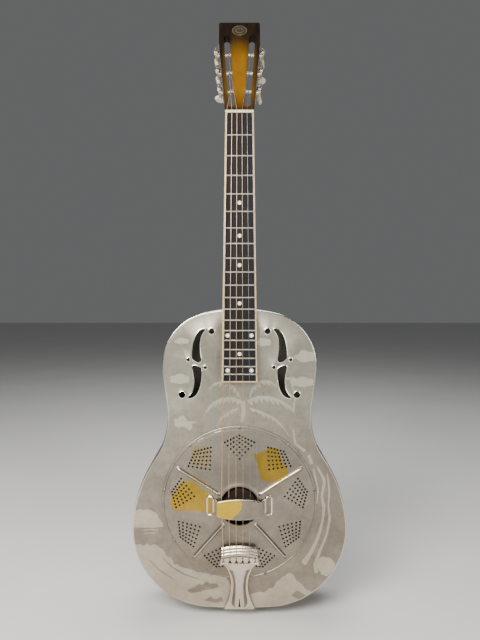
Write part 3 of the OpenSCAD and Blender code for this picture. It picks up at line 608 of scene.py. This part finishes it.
SHORE = [(-178, -76), (-165, -71), (-159, -76), (-154, -72), (-147, -75), (-140, -73), (-133, -79),
         (-126, -83), (-121, -92), (-114, -97), (-109, -106), (-103, -108), (-92, -113), (-82, -114),
         (-70, -120), (-60, -121), (-48, -126), (-40, -124), (-22, -128), (-16, -140), (-8, -150),
         (-6, -186), (-178, -186)]
BANK = [(8, -186), (12, -160), (30, -154), (42, -155), (50, -148), (57, -146), (62, -137), (70, -131),
        (78, -124), (85, -121), (90, -125), (95, -134), (104, -141), (112, -150), (124, -155), (136, -151),
        (150, -142), (165, -128), (178, -118), (178, -186)]
HAND_CLOUD = [(-107, 138), (-102, 136.5), (-98, 141), (-92, 143), (-88, 138), (-85, 133), (-79, 133),
              (-68, 132), (-79, 128.5), (-77, 123), (-82, 117), (-87, 121), (-92, 124.5), (-102, 122),
              (-108, 127)]
MOUNTAIN = [(-176, -18), (-168, -15), (-163, -13.5), (-158, -16), (-153, -14), (-144, -17), (-138, -20),
            (-134, -29), (-128, -38), (-127, -44), (-176, -45)]
FAR_BUSH = [(128, -100), (138, -93), (150, -96), (159, -106), (156, -118), (146, -127), (136, -124),
            (130, -112)]
NEAR_BUSH = [(-88, -151), (-76, -146), (-68, -140), (-62, -142), (-54, -136), (-47, -140), (-38, -139),
             (-34, -146), (-48, -149), (-62, -152), (-80, -156)]
LOW_BUSH = [(-60, -168), (-48, -162), (-40, -166), (-30, -161), (-26, -170), (-44, -172)]
ROOTS = [(86, -160), (96, -152), (104, -156), (116, -163), (128, -164), (118, -169), (102, -168)]

CLOUDS = [cloud(-94, 264, 26, 14, 5), cloud(-98, 201, 36, 22, 6), cloud(108, 238, 36, 26, 5),
          cloud(104, 196, 40, 22, 6), cloud(40, 262, 26, 18, 5), HAND_CLOUD]
MIDDLE_PALM = [
    frond([(14, 168), (32, 175), (51, 174), (70, 167), (82, 159), (90, 148)], 12, 11),
    frond([(2, 168), (-14, 173), (-30, 171), (-44, 164), (-55, 151), (-61, 131)], 12, 11),
    frond([(16, 176), (22, 190), (34, 200), (50, 200), (60, 192)], 9, 8),
    frond([(0, 176), (-10, 192), (-24, 200), (-42, 196), (-50, 186)], 9, 8),
    frond([(16, 156), (36, 149), (54, 141), (68, 129), (82, 108)], 8, 9),
    frond([(-2, 156), (-16, 150), (-30, 140), (-38, 124)], 8, 7)]
SIDE_FRONDS = [frond([(84, 206), (94, 203), (104, 194), (110, 184)], 6, 5),
               frond([(82, 204), (72, 206), (62, 200), (56, 190)], 6, 5)]
TRUNKS = [
    strip([(5, 166), (7, 150), (4, 132)], (9, 6, 5)),
    strip([(82, 206), (92, 176), (88, 150)], (2, 3.5)),
    strip([(88, 120), (92, 96), (108, 83)], (2.5, 5)),
    strip([(114, 77), (119, 62)], (5, 5.5)),
    strip([(128, 58), (141, 34), (136, 8), (140, -10), (137.5, -36), (130, -62), (119, -87), (106, -106)],
          (2.5, 5, 3.5, 5, 4, 5, 6, 9), 60),
    strip([(145, 46), (149, 18), (147, -8), (150, -29), (144, -60), (133, -85), (126, -108), (128, -122)],
          (2, 3.5, 2.5, 4, 3.5, 4.5, 7, 5), 60),
    strip([(122, 54), (130, 20), (128, -4)], (2, 3))]
RIPPLES = [strip([(-160, -49), (-148, -48), (-134, -49)], (1, 2, 1)),
           strip([(-158, -54.5), (-148, -54), (-139, -54)], (1, 1.6, 1))]
GROUND = [wobbly(MOUNTAIN, 0.7)] + [wobbly(loop, 0.9) for loop in (SHORE, BANK, FAR_BUSH)]
GAPS = [wobbly(loop, 0.9) for loop in (NEAR_BUSH, LOW_BUSH, ROOTS)]
GAPS += [strip([(-128, -96), (-112, -112), (-92, -124), (-68, -132)], (1, 3, 1.5)),
         strip([(-150, -100), (-132, -118), (-110, -132)], (1, 2.2, 1))]
LAND = [(ETCHED, loop) for loop in CLOUDS + MIDDLE_PALM + SIDE_FRONDS + TRUNKS + RIPPLES + GROUND]
LAND += [(PLAIN, loop) for loop in GAPS]


def body_metal():
    """The body's three sheets: the top with its etched scenery, the band round the sides, the back."""
    roll = 2.6
    turn = [(roll * (1 - math.sin(t)), roll * (1 - math.cos(t))) for t in np.linspace(0, math.pi / 2, 7)]
    steps = [[(x, y, z) for x, z in outline(inset)] for inset, y in turn]
    back_steps = [[(x, DEPTH - y, z) for x, y, z in loop] for loop in steps]
    holes = f_hole()
    holes += [[(-x, z) for x, z in loop] for loop in holes]
    # The rolled edge and a band round each f-hole get the bright nickel as painted highlight
    lip_highlight, lip_rise, lip_fade = 2, 0.7, 1.2
    highlight_lips = [(lip_highlight, grow(loop, 1.3)) for loop in holes]
    hole_edge = kdtree.KDTree(sum(len(loop) for loop in holes))
    for k, (x, z) in enumerate(point for loop in holes for point in loop):
        hole_edge.insert((x, z, 0), k)
    hole_edge.balance()

    def top_shape(xs, zs):
        gaps = np.array([hole_edge.find((x, z, 0))[2] for x, z in zip(xs, zs)])
        return xs, -lip_rise * np.clip(1 - gaps / lip_fade, 0, 1), zs

    holes.append(circle(0, CONE_Z, WELL_R, 120))
    region = cut_sheet(outline(roll), holes, patches=LAND + highlight_lips)
    rim = [(near, far, False) for near, far in zip(steps, steps[1:])]
    sheet_piece("top_sheet", [NICKEL, FROSTED, HIGHLIGHT_NICKEL], region, top_shape, SHEET, ["body_top"],
                rim=rim, rim_finish=lip_highlight)
    side_loops = [steps[-1]] + [[(x, y, z) for x, z in outline(0)] for y in (20, 43, 66)] + [back_steps[-1]]
    no_region = (np.zeros((0, 2)), np.zeros((0, 3), int), [])
    band = [(near, far, False) for near, far in zip(side_loops, side_loops[1:])]
    sheet_piece("side_band", [NICKEL], no_region, lambda x, z: (x, 0 * x, z), SHEET,
                ["body_sides"], rim=band)
    flat, tris, number = cut_sheet(outline(roll))
    back_rim = [(near, far, True) for near, far in zip(back_steps, back_steps[1:])]
    sheet_piece("back_sheet", [NICKEL], (flat, tris[:, ::-1], number),
                lambda x, z: (x, 0 * x + DEPTH, z), SHEET, ["body_back"], rim=back_rim)


body_metal()

# ---- Coverplate ----

COVER_R = 128.5
GRILLES, GRILLE_SIDE_HOLES, GRILLE_HOLE_R = 9, 6, 1.75
# Outer, left, right and inner corner of a grille, as distance from the middle and offset sideways
GRILLE_CORNERS = [(113, 0), (101.9, 24.1), (101.9, -24.1), (75.5, 0)]
RIB_ANGLES = (30, 150, 230, 310)
RIB_HALF, RIB_RISE, RIB_FROM, RIB_TO = 3.2, 3.1, 36, 121
# The cover's cross-section, as radius and height over the top, from the middle opening out to the edge
PROFILE = [(31.0, 12.4), (31.3, 13.9), (32.2, 14.9), (34, 14.5), (38, 12.9), (46, 11.0), (60, 8.5),
           (71, 7.1), (85, 5.9), (100, 4.6), (113, 3.4), (121, 2.5), (123.4, 1.95), (124.2, 1.85),
           (124.7, 1.3), (125.2, 1.8), (126.6, 1.8), (127.6, 1.7), (128.1, 1.5), (COVER_R, 0.9)]


def cover_height(x, z):
    """How far the cover's face stands over the body's top, with its ribs."""
    x, z = np.asarray(x, float), np.asarray(z, float) - CONE_Z
    r = np.hypot(x, z)
    radii, heights = zip(*PROFILE)
    height = np.interp(r, radii, heights)
    for angle in RIB_ANGLES:
        a = math.radians(angle)
        along = x * math.cos(a) + z * math.sin(a)
        across = np.abs(-x * math.sin(a) + z * math.cos(a))
        ends = np.clip((along - RIB_FROM) / 5, 0, 1) * np.clip((RIB_TO - along) / 6, 0, 1)
        ridge = np.cos(np.minimum(across / RIB_HALF, 1) * math.pi / 2) ** 1.3
        height = height + RIB_RISE * ridge * ends * (along > 0)
    return height


def from_middle(angle, r, off):
    """The point at distance r from the cover's middle in the direction of angle, moved sideways by off."""
    a = math.radians(angle)
    return r * math.cos(a) - off * math.sin(a), r * math.sin(a) + off * math.cos(a) + CONE_Z


def grille(angle):
    """The holes of one kite-shaped grille."""
    outer, left, right, inner = [from_middle(angle, r, off) for r, off in GRILLE_CORNERS]
    shares = np.linspace(0, 1, GRILLE_SIDE_HOLES)
    holes = []
    for u in shares:
        for v in shares:
            x, z = [(1 - u) * (1 - v) * o + u * (1 - v) * l + (1 - u) * v * r + u * v * n
                    for o, l, r, n in zip(outer, left, right, inner)]
            holes.append(circle(x, z, GRILLE_HOLE_R, 12))
    return holes


# Where the plating is worn through: beside two grilles, along two ribs, and thinly round a third grille
WORN_LEFT = [(-92, 34), (-82, 35.5), (-70, 30), (-58, 21), (-44, 12), (-41, 4), (-42, -8), (-54, -13),
             (-61, -15.5), (-70, -15), (-82, -13), (-93, -14), (-105, -14.5), (-112, -10), (-115, -1),
             (-112, 8), (-105, 20), (-98, 29)]
WORN_RIGHT = [(22, 80.5), (32, 81), (45, 87), (48, 91), (60, 90), (66, 80), (70, 66), (79, 54), (80, 44),
              (65, 36), (53.5, 34), (42, 36), (34, 43), (31, 57), (29, 66)]
WORN_TOP = [(-74, 92), (-56, 94), (-46, 88), (-48, 74), (-52, 58), (-66, 60), (-78, 62), (-82, 74)]
# Each as the rib's angle, two offsets from its middle line, and where it starts and ends
WORN_RIBS = [(150, 1.9, 3.6, 40, 116), (30, -3.6, -1.9, 52, 112), (150, -3.4, -2.4, 60, 100)]


def on_rib(angle, low, high, near, far):
    """A strip along a rib, between two offsets from its middle line."""
    return ([from_middle(angle, r, low) for r in np.linspace(near, far, 16)]
            + [from_middle(angle, r, high) for r in np.linspace(far, near, 16)])


def coverplate():
    # Finish numbers: brass and faint are worn plating, rib is the painted highlight on each rib's crest
    brass, faint, rib = 2, 3, 4
    rings = [31.3, 31.7, 32.2, 33, 34, 36, 38, 42, 46, 60, 80, 100, 110, 112, 114, 116, 118, 119.5, 121,
             122.2, 122.4, 123.4, 124.2, 124.7, 125.2, 126.0, 126.6, 127.2, 127.6, 128.1]
    lines = [circle(0, CONE_Z, r, 150 if r > 60 else 90) for r in rings]
    lines = [loop + loop[:1] for loop in lines]
    rib_stations = (34.5, 37, 39, 41, 50, 60, 70, 80, 90, 100, 108, 113, 115.5, 117.5, 119, 120.5)
    for angle in RIB_ANGLES:
        for off in np.linspace(-RIB_HALF, RIB_HALF, 9):
            lines.append([from_middle(angle, r, off) for r in rib_stations])
    holes = [hole for k in range(GRILLES) for hole in grille(90 + 360 / GRILLES * k)]
    holes.append(circle(0, CONE_Z, PROFILE[0][0], 90))
    wear_and_highlight = [(brass, wobbly(WORN_LEFT, 0.9)), (brass, wobbly(WORN_RIGHT, 0.9)), (faint, wobbly(WORN_TOP, 1.2))]
    # Along each rib's crest, a bright strip of painted highlight
    wear_and_highlight += [(rib, on_rib(angle, -1.7, 1.7, 38, 117)) for angle in RIB_ANGLES]
    wear_and_highlight += [(brass, wobbly(on_rib(*worn), 0.3)) for worn in WORN_RIBS]
    region = cut_sheet(circle(0, CONE_Z, COVER_R, 180), holes, lines, hex_grid(-126, 126, -126, 122, 7),
                       LAND + wear_and_highlight)
    sheet_piece("cover_sheet", [NICKEL, FROSTED, BRASS, BRASS_FAINT, HIGHLIGHT_NICKEL], region,
                lambda x, z: (x, -cover_height(x, z), z), 0.9, ["coverplate"], sharp=40)


coverplate()

# ---- Hand rest ----


def along_path(path):
    """Turns a line of 2-D points into functions of the length along it, for position and normal."""
    path = np.array(path, float)
    length = np.concatenate([[0], np.cumsum(np.hypot(*np.diff(path, axis=0).T))])
    slope = np.gradient(path, length, axis=0)

    def point(s):
        return np.interp(s, length, path[:, 0]), np.interp(s, length, path[:, 1])

    def normal(s):
        a, b = np.interp(s, length, slope[:, 0]), np.interp(s, length, slope[:, 1])
        size = np.hypot(a, b)
        return -b / size, a / size

    return point, normal, length[-1]


def edge_roll(gap, radius):
    """How far a face falls away within radius of its edge."""
    t = np.clip(1 - np.asarray(gap, float) / radius, 0, 1)
    return radius * (1 - np.sqrt(1 - t * t))


REST_HEIGHT = 30
PAD_FROM, PAD_TO, PAD_HALF, PAD_CORNER = 42.2, 54.5, 16.5, 5.5


def hand_rest():
    """The arched plate over the saddle, with a beaded pad at each end that stands on the cover."""
    half_path = ([(x, REST_HEIGHT - 0.5 * (x / 30) ** 2) for x in np.linspace(0, 33, 12)]
                 + bezier((33.6, 29.35), (36.4, 29.0), (37.0, 28.0), (37.7, 25.6), 9)
                 + [(37.7 + 2.9 * t, 25.6 - 9.6 * t) for t in np.linspace(0, 0.9, 6)]
                 + bezier((40.6, 16.0), (41.2, 14.1), (42.3, 13.7), (44.2, 13.3), 8)
                 + [(44.2, 13.3), (47, 12.6), (50, 12.0), (PAD_TO, 10.9)])
    path = [(-x, h) for x, h in half_path[:0:-1]] + half_path
    point, normal, length = along_path(path)
    middle = length / 2

    def half_width(s):
        x = np.abs(point(s)[0])
        bow = np.sqrt(140 ** 2 - np.minimum(x, 42) ** 2) - 122.8
        corner = PAD_CORNER - np.clip(np.minimum(x - PAD_FROM, PAD_TO - x), 0, PAD_CORNER)
        pad = PAD_HALF - PAD_CORNER + np.sqrt(np.maximum(PAD_CORNER ** 2 - corner ** 2, 0))
        return np.where(x > PAD_FROM, pad, bow)

    ends = np.concatenate([np.linspace(0, 7, 26), np.linspace(7.2, 18, 22)])
    s = np.unique(np.concatenate([ends, np.linspace(18, length - 18, 60), length - ends]))
    w = half_width(s)
    loop = list(zip(s, w)) + list(zip(s[::-1], -w[::-1]))
    lines = [list(zip(s[2:-2], side * (w[2:-2] - inset)))
             for inset in (0.25, 0.6, 1.0, 1.5, 2.1, 2.8) for side in (-1, 1)]
    lines += [[(at, -half_width(at) + 3.4), (at, half_width(at) - 3.4)] for at in s[4:-4:2]]

    # A bright border of painted highlight, worn brass on the top's bass half, nickel on the rest, and a patch
    # within each pad
    bright, worn, nickel, dim, brass = range(5)
    near, far, border = middle - 36.5, middle + 36.5, 1.5
    top = [(at, half_width(at) - border) for at in np.linspace(near, far, 40)]
    top += [(at, -half_width(at) + border) for at in np.linspace(far, near, 40)]
    patch = [(-38, -20), (-38, 20), (2, 20), (4.5, 12), (3, 2), (-2, -6), (-8, -9), (-12, -14), (-15, -20)]
    patch = wobbly([(middle + at, across) for at, across in patch], 0.7)
    patch = [(max(near, min(far, at)), across) for at, across in patch]

    def block(at, to, low, high):
        return [(at, low), (to, low), (to, high), (at, high)]

    patches = [(nickel, top), (worn, patch), (brass, block(3.2, 11.2, -13.5, 13.5)),
               (dim, block(length - 11.2, length - 3.2, -13.5, 13.5))]
    region = cut_sheet(loop, (), lines, (), patches)
    flat, tris, number = region
    centre = flat[tris].mean(axis=1)
    # The worn patch's edge also gets the painted highlight
    number[(number == worn) & (half_width(centre[:, 0]) - np.abs(centre[:, 1]) < border)] = bright

    def shape(at, across):
        x, h = point(at)
        nx, nh = normal(at)
        gap = half_width(at) - np.abs(across)
        foot = np.abs(x) > 42.6
        down = np.where(foot, 0, edge_roll(gap, 2.2))
        inwards = np.minimum(gap, PAD_TO - np.abs(x))
        bead = np.where(foot, 0.9 * np.exp(-((inwards - 1.5) / 0.8) ** 2), 0)
        out = bead - down
        return x + nx * out, -(h + nh * out), across + CONE_Z

    sheet_piece("rest_plate", [HIGHLIGHT_NICKEL, BRASS_LIGHT, NICKEL, DIM_NICKEL, BRASS], region, shape,
                1.2, ["hand_rest"], sharp=45)


hand_rest()

# ---- Tailpiece ----

BAR_Z = -96.0
BEND_Z = BAR_Z + 10 - 112
TAB_Z = TAIL_Z - 1.6
TAB_DEEP, TAIL_LENGTH, TAIL_SPREAD = 38, 86, 52
TAIL_LEAN = math.radians(7.6)


def tail_plate():
    """The plate from the tab over the body's end up to the string bar, with a spine and beaded edges."""
    rise = [(-2.287 - t * math.sin(TAIL_LEAN), TAIL_Z - 0.198 + t * math.cos(TAIL_LEAN))
            for t in np.linspace(4, TAIL_LENGTH, 42)]
    tab = [(y, TAB_Z) for y in (TAB_DEEP, 30, 22, 14, 8, 4, 1.5)]
    path = tab + bezier((1.0, TAB_Z), (-1.4, TAB_Z), (-2.3, TAB_Z + 1.0), rise[0], 10) + rise
    point, normal, top = along_path(path)
    start = top - TAIL_LENGTH
    edge = [(25.5, start)]
    edge += bezier((25.3, start + 0.5), (21, start + 12), (13.6, start + 24), (13.6, start + 46), 16)
    edge += bezier((13.6, start + 46), (13.6, start + 62), (18, start + 78), (31.0, top), 16) + [(31.0, top)]
    corner = [(25.5 * math.cos(t), 20 - 20 * math.sin(t)) for t in np.linspace(math.pi / 2, 0, 9)]
    right = corner + [(25.5, start - 4)] + edge
    loop = right + [(-x, s) for x, s in right[::-1][:-1]]

    # The spine's half width and height at stations up the plate
    stations = [start + k for k in (2.5, 4, 6, 10, 14, 20, 28, 40, 50, 62, 74, 82, 88)]
    widths = [3, 6.5, 9.4, 11.8, 12.2, 11.4, 10.2, 9.4, 9.4, 11.4, 16, 21, 25]
    heights = [0, 2.4, 4.6, 6.4, 6.9, 6.8, 6.3, 5.8, 5.4, 4.8, 3.8, 2.4, 1.4]

    def spine_half(s):
        return np.interp(s, stations, widths)

    def edge_half(s):
        return np.interp(s, [at for x, at in edge], [x for x, at in edge])

    lines = [[(x, s) for x in np.linspace(-0.97, 0.97, 21) * spine_half(s)]
             for s in np.linspace(start + 2.5, top - 0.5, 44)]
    for share in (-1.0, 1.0, -1.12, 1.12):
        lines.append([(share * spine_half(s), s) for s in np.linspace(start + 3, start + 72, 36)])
    for side in (-1, 1):
        lines.append([(side * (edge_half(s) - 1.35), s) for s in np.linspace(start + 1, start + 74, 40)])
    drop = [(1.9 * math.sin(t), start + 11 - 1.9 * math.cos(t)) for t in np.linspace(-1.9, 1.9, 13)]
    drop += [(0.9, start + 17), (0.45, start + 25), (-0.45, start + 25), (-0.9, start + 17)]
    screw_y, strap_y = 13, 27
    holes = [drop] + [circle(x, TAB_DEEP - screw_y, 1.6, 16) for x in (-15, 15)]
    holes.append(circle(0, TAB_DEEP - strap_y, 3.1, 20))

    def beside_spine(near, far, side):
        at = np.linspace(start + 4, start + 74, 40)
        wide = side * spine_half(at)
        return list(zip(near * wide, at)) + list(zip(far * wide[::-1], at[::-1]))

    shade, glint = 1, 2
    flanks = [(shade, beside_spine(0.66, 1.1, side)) for side in (-1, 1)]
    flanks += [(glint, beside_spine(0.48, 0.66, side)) for side in (-1, 1)]
    region = cut_sheet(loop, holes, lines, hex_grid(-25, 25, 2, top - 1, 3.4), flanks)

    def shape(x, s):
        y, z = point(s)
        ny, nz = normal(s)
        share = np.clip(np.abs(x) / spine_half(s), 0, 1)
        out = np.interp(s, stations, heights) * np.sqrt(1 - share ** 2) * (s > start + 2)
        gap = edge_half(s) - np.abs(x)
        out = out + 0.7 * np.clip(1 - gap / 1.3, 0, 1) * (s > start + 2) * (s < start + 74)
        return x, y + ny * out, z + nz * out

    sheet_piece("tail_plate", [POLISHED, NICKEL, HIGHLIGHT_NICKEL], region, shape, SHEET, ["tailpiece"],
                sharp=40)


def tail_bar():
    """The string bar: a bent plate with three ridges and a keyhole for each string."""
    def arc(r, half, count, back=False):
        a = math.asin(half / r)
        line = [(r * math.sin(t), BEND_Z + r * math.cos(t)) for t in np.linspace(-a, a, count)]
        return line[::-1] if back else line

    low, low_half, high, high_half, inner_half = 101.0, 32.6, 129.0, 29.4, 28.9
    loop = arc(high, high_half, 40) + arc(low, low_half, 40, back=True)
    ridges = (116, 121, 126)
    radii = [102, 103, 104.5, 108, 110.5, 111.4, 112, 112.8, 113.6]
    radii += [r + off for r in ridges for off in (-1.9, -1.3, -0.7, 0, 0.7, 1.3, 1.9)]
    lines = [arc(r, inner_half, 36) for r in radii]
    key_r, key_length, key_half = 2.5, 8.3, 1.05
    holes = []
    for n in TUNERS:
        x = TAIL_SPREAD * ((n - 1) / 5 - 0.5)
        round_part = [(x + key_r * math.sin(t), BAR_Z - key_r * math.cos(t))
                      for t in np.linspace(-2.7, 2.7, 18)]
        holes.append(round_part + [(x + key_half, BAR_Z + key_length), (x - key_half, BAR_Z + key_length)])
    region = cut_sheet(loop, holes, lines)

    def shape(x, z):
        r = np.hypot(x, z - BEND_Z)
        band = 0.8 * np.clip((112.4 - r) / 1.2, 0, 1) - edge_roll(r - low, 1.2)
        for ridge in ridges:
            band = band + 1.3 * np.cos(np.clip(np.abs(r - ridge) / 2.0, 0, 1) * math.pi / 2) ** 1.2
        return x, -(13.9 + band - edge_roll(high - r, 1.0)), z

    sheet_piece("tail_bar", [POLISHED], region, shape, 1.3, sharp=40)


tail_plate()
tail_bar()

# ---- Tuner buttons and the strings' turns on their posts ----


def ring_faces(start, rings, around):
    """The faces between rings of points that follow one another from start."""
    return [(start + i * around + j, start + i * around + (j + 1) % around,
             start + (i + 1) * around + (j + 1) % around, start + (i + 1) * around + j)
            for i in range(rings - 1) for j in range(around)]


def sweep(points, radius, sides):
    """Vertices and faces of a closed round tube along points."""
    points = np.array(points, float)
    ways = np.gradient(points, axis=0)
    ways /= np.linalg.norm(ways, axis=1)[:, None]
    up = np.cross(ways[0], (0.3, 0.5, 0.8))
    vertices = []
    for point, way in zip(points, ways):
        up = up - way * np.dot(up, way)
        up /= np.linalg.norm(up)
        across = np.cross(way, up)
        for j in range(sides):
            t = 2 * math.pi * j / sides
            vertices.append(point + radius * (math.cos(t) * up + math.sin(t) * across))
    last = (len(points) - 1) * sides
    caps = [tuple(range(sides))[::-1], tuple(range(last, last + sides))]
    return vertices, ring_faces(0, len(points), sides) + caps


BUTTON_TURNS = [70, 12, 8, -12, 75, -22]
BUTTON_HALF, BUTTON_REACH, BUTTON_T, BUTTON_Y = 9, 7, 6.5, 28


def button(n):
    """An oval button with rounded edges and a short collar on the worm's shaft."""
    rings, around, collar_sides = 15, 40, 24
    vertices = []
    for v in np.linspace(-math.pi / 2, math.pi / 2, rings):
        x = BUTTON_T / 2 * math.copysign(abs(math.sin(v)) ** 0.75, v)
        reach = abs(math.cos(v)) ** 0.42
        for j in range(around):
            t = 2 * math.pi * j / around
            pinch = 1 - 0.10 * max(0, -math.sin(t)) ** 2
            vertices.append((x, BUTTON_Y + BUTTON_REACH * reach * math.sin(t),
                             BUTTON_HALF * reach * math.cos(t) * pinch))
    collar = [(17.6, 1.7), (17.6, 2.3), (18.2, 2.6), (20.2, 2.7), (22.6, 2.9)]
    faces = ring_faces(0, rings, around) + ring_faces(len(vertices), len(collar), collar_sides)
    for y, r in collar:
        vertices += [(x, y, z) for x, z in circle(0, 0, r, collar_sides)]
    on_shaft = (tuner_frame(n) @ Matrix.Translation((WORM_X, 0, WORM_Z))
                @ Matrix.Rotation(math.radians(BUTTON_TURNS[n - 1]), 4, "Y"))
    piece = add_mesh(f"button_{n}", place(vertices, on_shaft), faces, [BUTTON], f"worm_{STRING_NAMES[n - 1]}",
                     [f"tuner_button_{n}"], sharp=50)
    weld(piece, turn_out=True)


def post_wrap(n):
    """The string's turns round its post, from where it arrives to the hole in the post."""
    s = post_height(n)
    slot_reach = (HEAD_HALF + SIDE_SLOPE * s - SLOT_X - SLOT_SLOPE * s) / math.cos(SIDE_ANGLE)
    r = STRING_R[n - 1]
    turns, steps, spacing = 2.5, 60, 2.3
    gap, tuck = 0.02, 0.15
    points = []
    for k in range(steps + 1):
        turned = turns * k / steps
        t = 2 * math.pi * turned
        out = POST_R + gap + r + (tuck if k else 0)
        points.append((-slot_reach - spacing * r * turned, -out * math.cos(t), out * math.sin(t)))
    vertices, faces = sweep(points, r, 8)
    add_mesh(f"string_wrap_{n}", place(vertices, tuner_frame(n)), faces, [WOUND if n <= 4 else PLAIN_WIRE],
             f"post_{STRING_NAMES[n - 1]}", sharp=60)


for n in TUNERS:
    button(n)
    post_wrap(n)

# ---- Badge on the head ----


def badge():
    """A plain oval inlay with a thin border near the head's top."""
    gold = plain_metal("badge_gold", (0.45, 0.32, 0.12), (0.66, 0.50, 0.22), 0.4)
    dark = wood("badge_dark", (0.015, 0.010, 0.008), (0.04, 0.025, 0.018), 0.4, coat=0.4).mat
    centre = 152.5

    def oval(a, b):
        return [(a * x, centre + b * z) for x, z in circle(0, 0, 1, 48)]

    border, field = 0, 1
    region = cut_sheet(oval(12.5, 9.5), (), (), hex_grid(-12, 12, centre - 9, centre + 9, 3),
                       [(field, oval(11.6, 8.6)), (border, oval(7.0, 4.6)), (field, oval(6.3, 3.9))])
    sheet_piece("head_badge", [gold, dark], region, lambda x, z: (x, 0 * x - 0.12, z), 0.1,
                matrix=HEAD)


badge()

# ---- Camera, light and floor ----


def studio():
    """The front view of the guitar, soft lights round it and a pale floor under it."""
    camera = new_object("camera", bpy.data.cameras.new("camera"))
    camera.location = (0.0008, TOP_Y * MM - 0.7857, SADDLE_Z * MM + 0.3272)
    camera.rotation_euler = (math.radians(88), 0, 0)
    camera.data.sensor_width = 36
    camera.data.lens = 27.06
    camera.data.clip_start = 0.01
    bpy.context.scene.camera = camera

    def area(name, location, target, size, power, colour):
        lamp = new_object(name, bpy.data.lights.new(name, "AREA"))
        lamp.location = location
        lamp.rotation_euler = (Vector(target) - Vector(location)).to_track_quat("-Z", "Y").to_euler()
        lamp.data.shape = "RECTANGLE"
        lamp.data.size, lamp.data.size_y = size
        lamp.data.energy = power
        lamp.data.color = colour

    area("key", (-1.2, -1.4, 1.5), (-0.1, 0, 0.35), (0.9, 1.2), 44, (1, 0.985, 0.95))
    area("pool", (-0.3, -0.75, 0.95), (-0.22, -0.5, 0), (0.7, 0.5), 15, (1, 0.94, 0.86))
    area("fill", (1.4, -1.6, 0.9), (0, 0, 0.4), (0.6, 1.2), 17, (1, 0.98, 0.95))
    area("top", (0.1, 0.5, 2.3), (0, 0, 0.5), (1.6, 1.0), 34, (1, 1, 1))
    world = bpy.data.worlds.new("world")
    world.use_nodes = True
    background = world.node_tree.nodes["Background"]
    background.inputs["Color"].default_value = (0.86, 0.87, 0.88, 1)
    background.inputs["Strength"].default_value = 0.15
    bpy.context.scene.world = world

    mesh = bpy.data.meshes.new("floor")
    reach = 12
    corners = [(-reach, -reach, 0), (reach, -reach, 0), (reach, reach, 0), (-reach, reach, 0)]
    mesh.from_pydata(corners, [], [(0, 1, 2, 3)])
    ground = Finish("floor_paint", Roughness=0.75)
    tone = ground.noise(3, 4)
    ground.set("Base Color", ground.ramp(tone, (0.3, (0.62, 0.62, 0.61)), (0.7, (0.66, 0.66, 0.65))))
    mesh.materials.append(ground.mat)
    floor = new_object("floor", mesh)
    floor.location.z = CAD_BOX[0][2] - 0.0002


studio()
